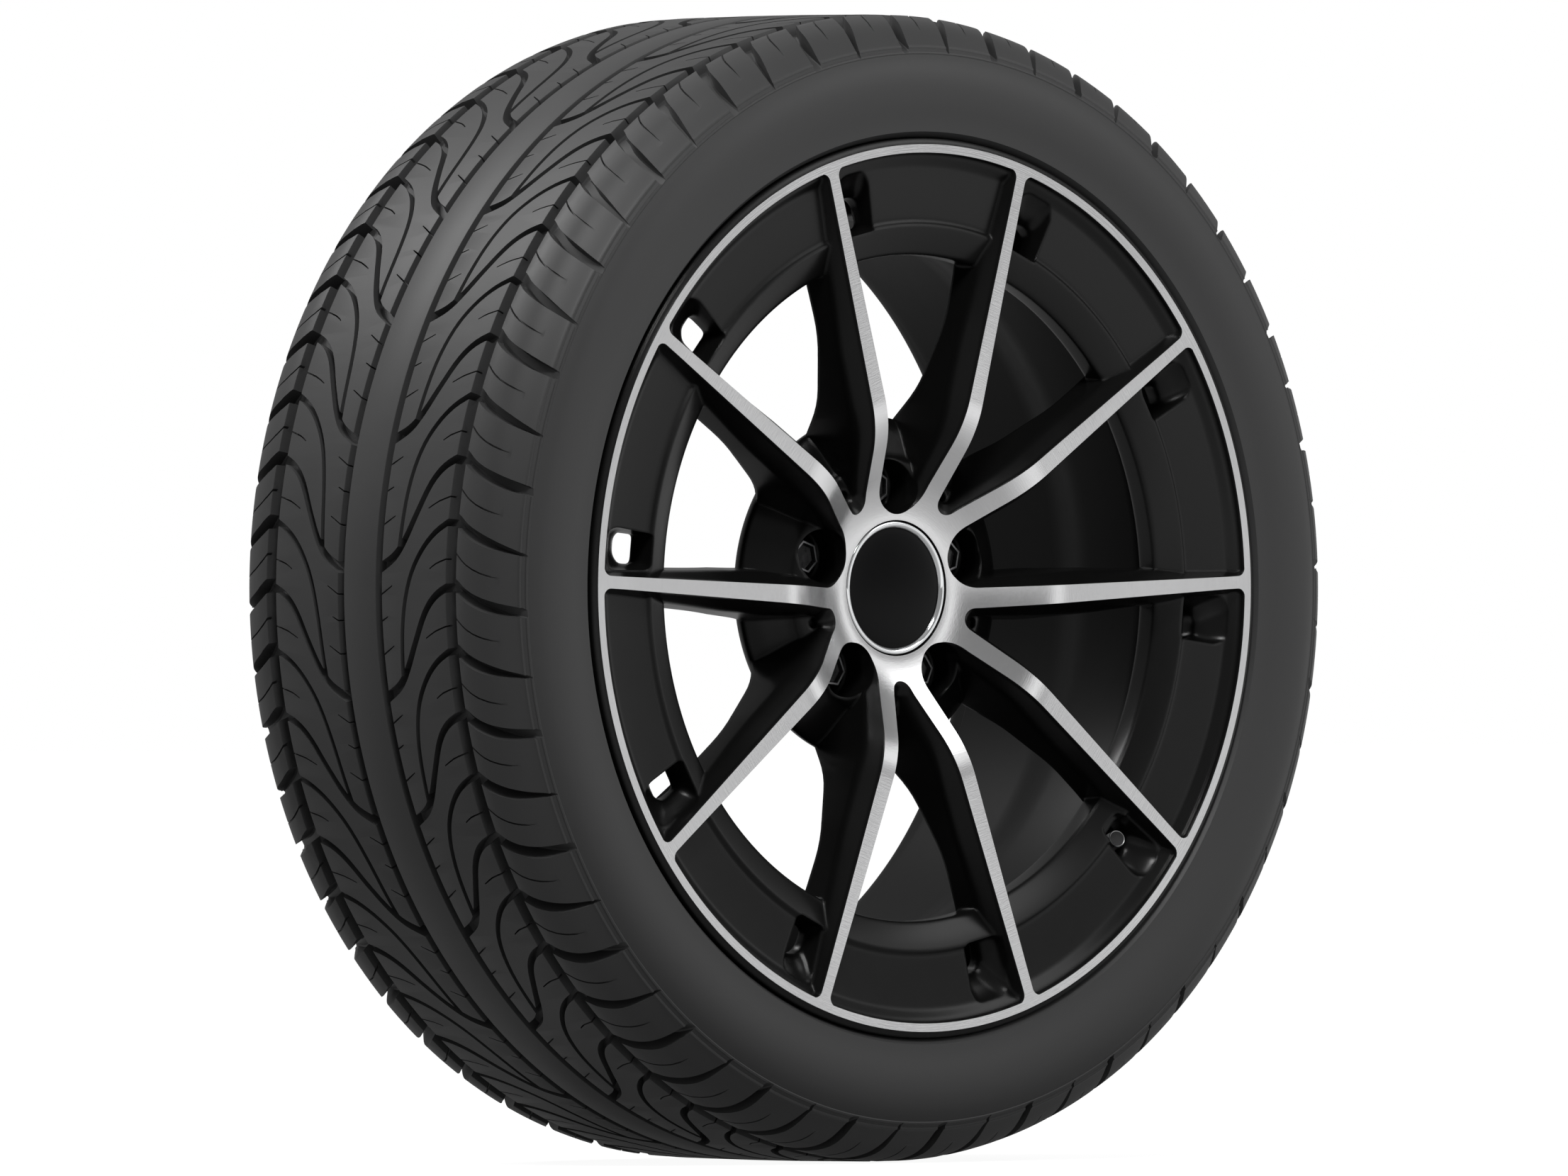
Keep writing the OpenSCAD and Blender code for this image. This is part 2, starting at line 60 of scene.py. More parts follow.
Profile = list[tuple[float, ...]]
Outline = np.ndarray


class Side(Enum):
    """The two halves of the tread, as the sign of the distance from its middle."""

    FRONT = 1
    BACK = -1


class Gap(Enum):
    """The two kinds of window between the spokes."""

    NARROW = "narrow"
    BOLT = "bolt"


def to_frame(points: np.ndarray) -> np.ndarray:
    """Turn points drawn face up into the wheel's frame.

    Args:
        points: rows of x, y and height over the rim's middle plane, in mm.

    Returns:
        Rows in metres, with the axle along Y and the face towards -Y.
    """
    return np.column_stack((points[:, 0], -points[:, 2], points[:, 1])) * MM


def new_object(name: str, points: np.ndarray, faces: Sequence[Sequence[int]]) -> bpy.types.Object:
    """Make an object from points in metres, with its doubles merged and its faces outwards.

    Args:
        name: name of the object and its mesh.
        points: rows of coordinates in the wheel's frame.
        faces: corner numbers of each face.

    Returns:
        The linked object, at the origin.
    """
    mesh = bpy.data.meshes.new(name)
    mesh.from_pydata([tuple(p) for p in points], [], [list(f) for f in faces])
    shape = bmesh.new()
    shape.from_mesh(mesh)
    bmesh.ops.remove_doubles(shape, verts=shape.verts, dist=1e-7)
    bmesh.ops.recalc_face_normals(shape, faces=shape.faces)
    shape.to_mesh(mesh)
    shape.free()
    obj = bpy.data.objects.new(name, mesh)
    bpy.context.collection.objects.link(obj)
    return obj


def drop(*objects: bpy.types.Object) -> None:
    """Remove helper objects and their meshes."""
    for obj in objects:
        mesh = obj.data
        bpy.data.objects.remove(obj)
        bpy.data.meshes.remove(mesh)


def freeze(obj: bpy.types.Object) -> None:
    """Turn an object's modifiers into plain mesh and remove them."""
    graph = bpy.context.evaluated_depsgraph_get()
    made = bpy.data.meshes.new_from_object(obj.evaluated_get(graph), depsgraph=graph)
    obj.modifiers.clear()
    old = obj.data
    obj.data = made
    bpy.data.meshes.remove(old)
    made.name = obj.name


def combine(body: bpy.types.Object, tool: bpy.types.Object, operation: str = "DIFFERENCE") -> None:
    """Cut a closed tool out of a body, or join it on, and remove the tool.

    Args:
        body: the object that is changed.
        tool: the closed object that cuts or joins.
        operation: DIFFERENCE or UNION.
    """
    modifier = body.modifiers.new("work", "BOOLEAN")
    modifier.operation = operation
    modifier.solver = "MANIFOLD"
    modifier.object = tool
    freeze(body)
    drop(tool)


def soften(obj: bpy.types.Object, degrees: float) -> None:
    """Shade an object smooth, with its edges above an angle kept sharp."""
    obj.data.shade_smooth()
    obj.data.set_sharp_from_angle(angle=math.radians(degrees))


def bend(start: np.ndarray, middle: np.ndarray, end: np.ndarray, t: float) -> np.ndarray:
    """Point at share t of the curve that leaves start and reaches end towards a middle point."""
    return (1 - t) ** 2 * start + 2 * t * (1 - t) * middle + t * t * end


def at_height(flat: np.ndarray, height: float) -> np.ndarray:
    """Lift rows of x and y to one height."""
    return np.column_stack((flat, np.full(len(flat), float(height))))


def circle(radius: float | np.ndarray, height: float, angle: np.ndarray) -> np.ndarray:
    """Rows of a level ring of one radius, or of one radius for each angle."""
    return at_height(np.column_stack((radius * np.cos(angle), radius * np.sin(angle))), height)


def rounded(points: Profile, steps: int = 4) -> list[tuple[float, float]]:
    """Round the corners of a closed line.

    Args:
        points: corners as (across, up) or (across, up, cut), where cut is how far from the
            corner the rounding starts, in mm.
        steps: pieces in each rounding.

    Returns:
        The points of the rounded line.
    """
    line: list[tuple[float, float]] = []
    count = len(points)
    for i, point in enumerate(points):
        here = np.array(point[:2])
        cut = point[2] if len(point) > 2 else 0.0
        if cut <= 0:
            line.append((float(here[0]), float(here[1])))
            continue
        before = np.array(points[i - 1][:2]) - here
        after = np.array(points[(i + 1) % count][:2]) - here
        start = here + before * min(0.45, cut / np.linalg.norm(before))
        end = here + after * min(0.45, cut / np.linalg.norm(after))
        for k in range(steps + 1):
            spot = bend(start, here, end, k / steps)
            line.append((float(spot[0]), float(spot[1])))
    return line


def smooth_line(points: Profile, pieces: int) -> np.ndarray:
    """Run a smooth curve through points.

    Args:
        points: points of any width.
        pieces: pieces between two points.

    Returns:
        The curve's points as rows.
    """
    given = np.array(points, float)
    padded = np.vstack((2 * given[0] - given[1], given, 2 * given[-1] - given[-2]))
    rows = []
    for i in range(1, len(padded) - 2):
        a, b, c, d = padded[i - 1:i + 3]
        for k in range(pieces):
            t = k / pieces
            rows.append(0.5 * (2 * b + (c - a) * t + (2 * a - 5 * b + 4 * c - d) * t * t
                               + (3 * b - a - 3 * c + d) * t ** 3))
    rows.append(given[-1])
    return np.array(rows)


def turned(name: str, line: Sequence[tuple[float, float]], segments: int = 360) -> bpy.types.Object:
    """Turn a closed section about the axle.

    Args:
        name: name of the object.
        line: section points as (radius, height) in mm.
        segments: steps round the axle.

    Returns:
        A closed object.
    """
    section = np.array(line, float)
    angle = np.linspace(0, 2 * math.pi, segments, endpoint=False)
    radius = section[:, 0][None, :]
    grid = np.stack((np.cos(angle)[:, None] * radius, np.sin(angle)[:, None] * radius,
                     np.repeat(section[:, 1][None, :], segments, 0)), axis=2)
    count = len(section)
    faces = []
    for i in range(segments):
        j = (i + 1) % segments
        for k in range(count):
            m = (k + 1) % count
            if section[k, 0] < 1e-6 and section[m, 0] < 1e-6:
                continue
            if section[k, 0] < 1e-6:
                faces.append((i * count + k, j * count + m, i * count + m))
            elif section[m, 0] < 1e-6:
                faces.append((i * count + k, j * count + k, i * count + m))
            else:
                faces.append((i * count + k, j * count + k, j * count + m, i * count + m))
    return new_object(name, to_frame(grid.reshape(-1, 3)), faces)


def lofted(name: str, rings: Sequence[np.ndarray], place: Callable[[np.ndarray], np.ndarray],
           middles: tuple[Sequence[float], Sequence[float]] | None = None) -> bpy.types.Object:
    """Join closed rings of equal length into a closed solid.

    Args:
        name: name of the object.
        rings: arrays of points, first to last.
        place: takes the points to the wheel's frame in metres.
        middles: a point inside the first and the last ring, or None for flat ends.

    Returns:
        A closed object.
    """
    count = len(rings[0])
    faces: list[tuple[int, ...]] = []
    for k in range(len(rings) - 1):
        for i in range(count):
            j = (i + 1) % count
            faces.append((k * count + i, k * count + j, (k + 1) * count + j, (k + 1) * count + i))
    points = np.vstack(rings)
    last = (len(rings) - 1) * count
    if middles is None:
        faces.append(tuple(range(count - 1, -1, -1)))
        faces.append(tuple(last + i for i in range(count)))
    else:
        points = np.vstack((points, np.array(middles, float)))
        for i in range(count):
            j = (i + 1) % count
            faces.append((len(points) - 2, j, i))
            faces.append((len(points) - 1, last + i, last + j))
    return new_object(name, place(points), faces)


def spun(degrees: float) -> Callable[[np.ndarray], np.ndarray]:
    """Give the placing of points that are drawn on +X and belong at an angle round the face."""
    a = math.radians(degrees)

    def place(points: np.ndarray) -> np.ndarray:
        """Turn points about the axle and take them to the frame."""
        x = points[:, 0] * math.cos(a) - points[:, 1] * math.sin(a)
        y = points[:, 0] * math.sin(a) + points[:, 1] * math.cos(a)
        return to_frame(np.column_stack((x, y, points[:, 2])))

    return place


def shape_tree(name: str, inputs: dict[str, str]) -> tuple[bpy.types.NodeTree, dict[str, str]]:
    """Open a Geometry Nodes tree that takes a shape, other inputs and a finish, and gives a shape.

    Args:
        name: name of the tree.
        inputs: kind of socket for each further input, by its name.

    Returns:
        The tree and the identifier of each input, by its name.
    """
    tree = bpy.data.node_groups.new(name, "GeometryNodeTree")
    new = tree.interface.new_socket
    keys = {key: new(key, in_out="INPUT", socket_type=f"NodeSocket{kind}").identifier
            for key, kind in {"Shape": "Geometry", **inputs, "Finish": "Material"}.items()}
    new("Shape", in_out="OUTPUT", socket_type="NodeSocketGeometry")
    return tree, keys


def give_shape(tree: bpy.types.NodeTree, start: bpy.types.Node, shape: bpy.types.NodeSocket) -> None:
    """End a tree: make the shape real, put the finish on it and send it out."""
    real, paint, end = (tree.nodes.new(kind) for kind in (
        "GeometryNodeRealizeInstances", "GeometryNodeSetMaterial", "NodeGroupOutput"))
    tree.links.new(shape, real.inputs[0])
    tree.links.new(real.outputs[0], paint.inputs["Geometry"])
    tree.links.new(start.outputs["Finish"], paint.inputs["Material"])
    tree.links.new(paint.outputs[0], end.inputs[0])


class Repeater:
    """Geometry Nodes tree that sets copies of a shape evenly round the axle."""

    def __init__(self) -> None:
        """Build the tree with its named inputs."""
        self.tree, self.keys = shape_tree("Copies round the axle", {"Count": "Int", "First angle": "Float"})
        tree = self.tree
        add = tree.nodes.new
        start = add("NodeGroupInput")
        line, index = add("GeometryNodeMeshLine"), add("GeometryNodeInputIndex")
        share, turn, shift = (add("ShaderNodeMath") for _ in range(3))
        share.operation, turn.operation, shift.operation = "DIVIDE", "MULTIPLY", "ADD"
        share.inputs[0].default_value = -2 * math.pi
        spread, angles = add("ShaderNodeCombineXYZ"), add("FunctionNodeEulerToRotation")
        copies = add("GeometryNodeInstanceOnPoints")
        line.inputs["Offset"].default_value = (0, 0, 0)
        link = tree.links.new
        link(start.outputs["Count"], line.inputs["Count"])
        link(start.outputs["Count"], share.inputs[1])
        link(share.outputs[0], turn.inputs[0])
        link(index.outputs[0], turn.inputs[1])
        link(turn.outputs[0], shift.inputs[0])
        link(start.outputs["First angle"], shift.inputs[1])
        link(shift.outputs[0], spread.inputs["Y"])
        link(spread.outputs[0], angles.inputs[0])
        link(line.outputs[0], copies.inputs["Points"])
        link(start.outputs["Shape"], copies.inputs["Instance"])
        link(angles.outputs[0], copies.inputs["Rotation"])
        give_shape(tree, start, copies.outputs[0])

    def spread(self, obj: bpy.types.Object, count: int, degrees: float = 0.0,
               finish: bpy.types.Material | None = None) -> bpy.types.Object:
        """Turn one shape into copies round the axle.

        Args:
            obj: the shape, drawn at the first place.
            count: number of copies.
            degrees: angle of the first copy, counter-clockwise as the face is seen.
            finish: material of the copies.

        Returns:
            The same object, now a plain mesh of all copies.
        """
        modifier = obj.modifiers.new("copies", "NODES")
        modifier.node_group = self.tree
        modifier[self.keys["Count"]] = count
        modifier[self.keys["First angle"]] = -math.radians(degrees)
        if finish is not None:
            modifier[self.keys["Finish"]] = finish
        freeze(obj)
        return obj


class Coiler:
    """Geometry Nodes tree that winds a round wire into a straight coil along Z."""

    def __init__(self) -> None:
        """Build the tree with its named inputs."""
        names = ("Turns", "Radius", "Height", "Wire radius")
        self.tree, self.keys = shape_tree("Wire coil", dict.fromkeys(names, "Float"))
        add, link = self.tree.nodes.new, self.tree.links.new
        start = add("NodeGroupInput")
        path, wire, sweep = (add(k) for k in (
            "GeometryNodeCurveSpiral", "GeometryNodeCurvePrimitiveCircle", "GeometryNodeCurveToMesh"))
        path.inputs["Resolution"].default_value = 24
        wire.inputs["Resolution"].default_value = 8
        sweep.inputs["Fill Caps"].default_value = True
        for source, target in (("Turns", "Rotations"), ("Radius", "Start Radius"), ("Radius", "End Radius"),
                               ("Height", "Height")):
            link(start.outputs[source], path.inputs[target])
        link(start.outputs["Wire radius"], wire.inputs["Radius"])
        link(path.outputs[0], sweep.inputs["Curve"])
        link(wire.outputs[0], sweep.inputs["Profile Curve"])
        give_shape(self.tree, start, sweep.outputs[0])

    def wind(self, name: str, turns: float, radius: float, height: float, wire: float,
             finish: bpy.types.Material) -> bpy.types.Object:
        """Make a coil at the origin.

        Args:
            name: name of the object.
            turns: number of turns.
            radius: radius of the wire's middle line, in metres.
            height: length of the middle line along Z, in metres.
            wire: radius of the wire, in metres.
            finish: material of the wire.

        Returns:
            The coil as a plain mesh object.
        """
        obj = new_object(name, np.zeros((3, 3)), [])
        modifier = obj.modifiers.new("coil", "NODES")
        modifier.node_group = self.tree
        values = {"Turns": turns, "Radius": radius, "Height": height, "Wire radius": wire, "Finish": finish}
        for key, value in values.items():
            modifier[self.keys[key]] = value
        freeze(obj)
        return obj


class Graph:
    """Shorthand for building the nodes of one tree."""

    def __init__(self, tree: bpy.types.NodeTree) -> None:
        """Keep the tree."""
        self.tree = tree

    def add(self, kind: str, **settings: object) -> bpy.types.Node:
        """Add a node, with settings by the names of its properties."""
        node = self.tree.nodes.new(kind)
        for key, value in settings.items():
            setattr(node, key, value)
        return node

    def feed(self, node: bpy.types.Node, **inputs: object) -> bpy.types.Node:
        """Set or link inputs, whose names have spaces written as underscores."""
        for key, value in inputs.items():
            socket = node.inputs[int(key[1:])] if key[0] == "n" and key[1:].isdigit() \
                else node.inputs[key.replace("_", " ")]
            if isinstance(value, bpy.types.NodeSocket):
                self.tree.links.new(value, socket)
            else:
                socket.default_value = value
        return node

    def maths(self, operation: str, first: object, second: object = 0.0) -> bpy.types.NodeSocket:
        """Add a Math node and give its output."""
        return self.feed(self.add("ShaderNodeMath", operation=operation), n0=first, n1=second).outputs[0]

    def blend(self, factor: object, low: object, high: object) -> bpy.types.NodeSocket:
        """Mix two colours and give the result."""
        node = self.add("ShaderNodeMix", data_type="RGBA")
        return self.feed(node, n0=factor, n6=low, n7=high).outputs[2]

    def span(self, value: object, low: float, high: float, start: float = 0.0, end: float = 1.0
             ) -> bpy.types.NodeSocket:
        """Map a value from start..end to low..high."""
        node = self.feed(self.add("ShaderNodeMapRange"), Value=value, From_Min=start, From_Max=end,
                         To_Min=low, To_Max=high)
        return node.outputs[0]


class Effects:
    """Shader node groups that several finishes share."""

    def __init__(self) -> None:
        """Build the groups once."""
        self.grain = self._grain()
        self.lathe = self._lathe()
        self.patina = self._patina()

    @staticmethod
    def _start(name: str, inputs: dict[str, float], outputs: Sequence[str]
               ) -> tuple[Graph, dict, bpy.types.Node]:
        """Open a group with object coordinates first among its inputs."""
        tree = bpy.data.node_groups.new(name, "ShaderNodeTree")
        face = tree.interface
        face.new_socket("Vector", in_out="INPUT", socket_type="NodeSocketVector")
        for key, value in inputs.items():
            face.new_socket(key, in_out="INPUT", socket_type="NodeSocketFloat").default_value = value
        for key in outputs:
            face.new_socket(key, in_out="OUTPUT", socket_type="NodeSocketFloat")
        graph = Graph(tree)
        start = graph.add("NodeGroupInput")
        return graph, {s.name: s for s in start.outputs}, graph.add("NodeGroupOutput")

    def _grain(self) -> bpy.types.NodeTree:
        """A fine even grain: its value for colour and its height for bumps."""
        graph, given, end = self._start("Fine grain", {"Scale": 900.0, "Coarse": 60.0}, ("Value", "Height"))
        fine = graph.feed(graph.add("ShaderNodeTexNoise"), Vector=given["Vector"], Scale=given["Scale"],
                          Detail=2.0, Roughness=0.6)
        coarse = graph.feed(graph.add("ShaderNodeTexNoise"), Vector=given["Vector"], Scale=given["Coarse"],
                            Detail=3.0)
        graph.feed(end, Value=coarse.outputs[0],
                   Height=graph.maths("ADD", graph.maths("MULTIPLY", fine.outputs[0], 0.7),
                                      graph.maths("MULTIPLY", coarse.outputs[0], 0.3)))
        return graph.tree

    def _lathe(self) -> bpy.types.NodeTree:
        """Fine tool lines that run round the axle, broken up along their length."""
        inputs = {"Fineness": 1500.0, "Length": 14.0}
        graph, given, end = self._start("Lathe lines", inputs, ("Value", "Height"))
        parts = graph.feed(graph.add("ShaderNodeSeparateXYZ"), Vector=given["Vector"])
        x, z = parts.outputs["X"], parts.outputs["Z"]
        square = graph.maths("ADD", graph.maths("MULTIPLY", x, x), graph.maths("MULTIPLY", z, z))
        radius = graph.maths("SQRT", square)
        ray = graph.feed(graph.add("ShaderNodeCombineXYZ"), X=graph.maths("DIVIDE", x, radius),
                         Y=graph.maths("DIVIDE", z, radius))
        spread = graph.feed(graph.add("ShaderNodeVectorMath", operation="SCALE"), n0=ray.outputs[0],
                            Scale=given["Length"])
        across = graph.maths("MULTIPLY", radius, given["Fineness"])
        lift = graph.feed(graph.add("ShaderNodeCombineXYZ"), Z=across)
        spot = graph.feed(graph.add("ShaderNodeVectorMath", operation="ADD"), n0=spread.outputs[0],
                          n1=lift.outputs[0])
        lines = graph.feed(graph.add("ShaderNodeTexNoise"), Vector=spot.outputs[0], Scale=1.0, Detail=3.0,
                           Roughness=0.65)
        graph.feed(end, Value=lines.outputs[0], Height=lines.outputs[0])
        return graph.tree

    def _patina(self) -> bpy.types.NodeTree:
        """Soft uneven patches, as handling and weather leave them."""
        graph, given, end = self._start("Handling marks", {"Scale": 9.0, "Sharpness": 0.5}, ("Mask",))
        patch = graph.feed(graph.add("ShaderNodeTexNoise"), Vector=given["Vector"], Scale=given["Scale"],
                           Detail=5.0, Roughness=0.6, Distortion=0.4)
        mask = graph.maths("MULTIPLY", graph.maths("SUBTRACT", patch.outputs[0], 0.45),
                           graph.maths("MULTIPLY", given["Sharpness"], 6.0))
        graph.feed(end, Mask=graph.feed(graph.add("ShaderNodeClamp"), Value=mask).outputs[0])
        return graph.tree


@dataclass(frozen=True)
class Finish:
    """A surface finish that reads object coordinates.

    Attributes:
        name: name of the material.
        colour: main colour, as linear red, green and blue.
        shade: second colour that the patches bring in.
        roughness: lowest and highest roughness.
        metallic: 1 for bare metal.
        bump: strength of the grain, 0 to 1.
        grain: grains per metre.
        lathe: whether lines round the axle take the place of the grain.
        coat: weight of the clear coat.
        specular: specular level.
        sheen: weight of the dusty sheen.
        brushed: how far the gloss is drawn out across the tool lines, 0 to 1.
        edge: radius over which sharp edges are shaded round, in metres.
    """

    name: str
    colour: tuple[float, float, float]
    shade: tuple[float, float, float]
    roughness: tuple[float, float] = (0.4, 0.5)
    metallic: float = 0.0
    bump: float = 0.1
    grain: float = 900.0
    lathe: bool = False
    coat: float = 0.0
    specular: float = 0.5
    sheen: float = 0.0
    brushed: float = 0.0
    edge: float = 0.0

    def material(self, effects: Effects) -> bpy.types.Material:
        """Build the material.

        Args:
            effects: the shared node groups.

        Returns:
            A material with a Principled shader.
        """
        made = bpy.data.materials.new(self.name)
        made.use_nodes = True
        graph = Graph(made.node_tree)
        shader = next(n for n in made.node_tree.nodes if n.type == "BSDF_PRINCIPLED")
        place = graph.add("ShaderNodeTexCoord").outputs["Object"]
        group = graph.add("ShaderNodeGroup", node_tree=effects.lathe if self.lathe else effects.grain)
        graph.feed(group, Vector=place)
        if not self.lathe:
            graph.feed(group, Scale=self.grain, Coarse=self.grain / 14)
        marks = graph.feed(graph.add("ShaderNodeGroup", node_tree=effects.patina), Vector=place,
                           Scale=9.0 if self.grain < 2000 else 60.0)
        mix = graph.maths("ADD", graph.maths("MULTIPLY", marks.outputs["Mask"], 0.5),
                          graph.maths("MULTIPLY", group.outputs["Value"], 0.5))
        tint = graph.blend(mix, (*self.colour, 1), (*self.shade, 1))
        rough = graph.span(mix, self.roughness[0], self.roughness[1])
        bump = graph.feed(graph.add("ShaderNodeBump"), Strength=self.bump, Distance=0.0004,
                          Height=group.outputs["Height"])
        if self.edge:
            soft_edge = graph.feed(graph.add("ShaderNodeBevel", samples=4), Radius=self.edge)
            graph.feed(bump, Normal=soft_edge.outputs[0])
        graph.feed(shader, Base_Color=tint, Roughness=rough, Normal=bump.outputs[0], Metallic=self.metallic,
                   Coat_Weight=self.coat, Coat_Roughness=0.12, Specular_IOR_Level=self.specular,
                   Sheen_Weight=self.sheen, Sheen_Roughness=0.5, Anisotropic=self.brushed)
        if self.brushed:
            along = graph.add("ShaderNodeTangent", direction_type="RADIAL", axis="Y")
            graph.feed(shader, Tangent=along.outputs[0])
        return made


def grey(value: float, blue: float | None = None) -> tuple[float, float, float]:
    """A linear grey, or one whose blue differs a little."""
    return value, value, value if blue is None else blue


class Finishes:
    """All finishes of the wheel, built once."""

    def __init__(self) -> None:
        """Build every material."""
        effects = Effects()
        make = {
            "paint": Finish("black_paint", grey(0.0044, 0.0043), grey(0.0058, 0.0057), (0.21, 0.27),
                            bump=0.03, grain=1500, specular=0.22, edge=0.0024),
            "barrel": Finish("dull_black_coat", grey(0.0022), grey(0.0032), (0.42, 0.5),
                             bump=0.05, grain=1300, specular=0.12),
            "bright": Finish("turned_alloy", grey(0.56, 0.565), grey(0.68, 0.685), (0.18, 0.25), metallic=1,
                             bump=0.12, lathe=True, brushed=0.4),
            "rubber": Finish("tyre_rubber", grey(0.030, 0.0303), grey(0.037, 0.0373), (0.50, 0.58),
                             bump=0.08, grain=1100, specular=0.42, sheen=0.05),
            "bolt": Finish("black_steel", grey(0.035, 0.036), grey(0.06, 0.061), (0.24, 0.34), bump=0.1,
                           grain=2600, metallic=0.5, edge=0.0007, coat=0.3),
            "hexagon": Finish("worn_steel", grey(0.20, 0.203), grey(0.30, 0.304), (0.3, 0.4), bump=0.12,
                              grain=2600, metallic=1, edge=0.0004),
            "plastic": Finish("black_plastic", grey(0.018), grey(0.024), (0.45, 0.55),
                              bump=0.15, grain=2400),
            "chrome": Finish("chrome_trim", (0.72, 0.73, 0.74), (0.80, 0.81, 0.82), (0.06, 0.1), metallic=1,
                             bump=0.02, lathe=True),
            "gloss": Finish("gloss_black", grey(0.0022, 0.0024), grey(0.0032, 0.0034), (0.20, 0.26),
                            bump=0.01, grain=700, specular=0.08),
            "spring": Finish("spring_steel", grey(0.36, 0.37), grey(0.46, 0.47), (0.25, 0.35), metallic=1,
                             bump=0.06, grain=5000),
            "valve": Finish("valve_alloy", (0.40, 0.405, 0.41), (0.5, 0.505, 0.51), (0.25, 0.36), metallic=1,
                            bump=0.08, grain=4200),
            "seal": Finish("black_rubber", grey(0.014), grey(0.02), (0.6, 0.7), bump=0.15,
                           grain=3800),
            "brass": Finish("brass", (0.62, 0.42, 0.16), (0.74, 0.52, 0.22), (0.25, 0.35), metallic=1,
                            bump=0.06, grain=5200),
            "red": Finish("red_rubber", (0.32, 0.035, 0.02), (0.4, 0.05, 0.03), (0.5, 0.6), bump=0.1,
                          grain=4800),
            "badge": Finish("cap_metal", grey(0.02, 0.021), grey(0.03, 0.031), (0.2, 0.3), bump=0.05,
                            grain=4400, coat=0.4),
        }
        self.made = {key: finish.material(effects) for key, finish in make.items()}

    def __getitem__(self, key: str) -> bpy.types.Material:
        """Give a material by its short name."""
        return self.made[key]

    def paint(self, obj: bpy.types.Object, *keys: str) -> None:
        """Put materials on an object, in the order of its material numbers."""
        obj.data.materials.clear()
        for key in keys:
            obj.data.materials.append(self.made[key])


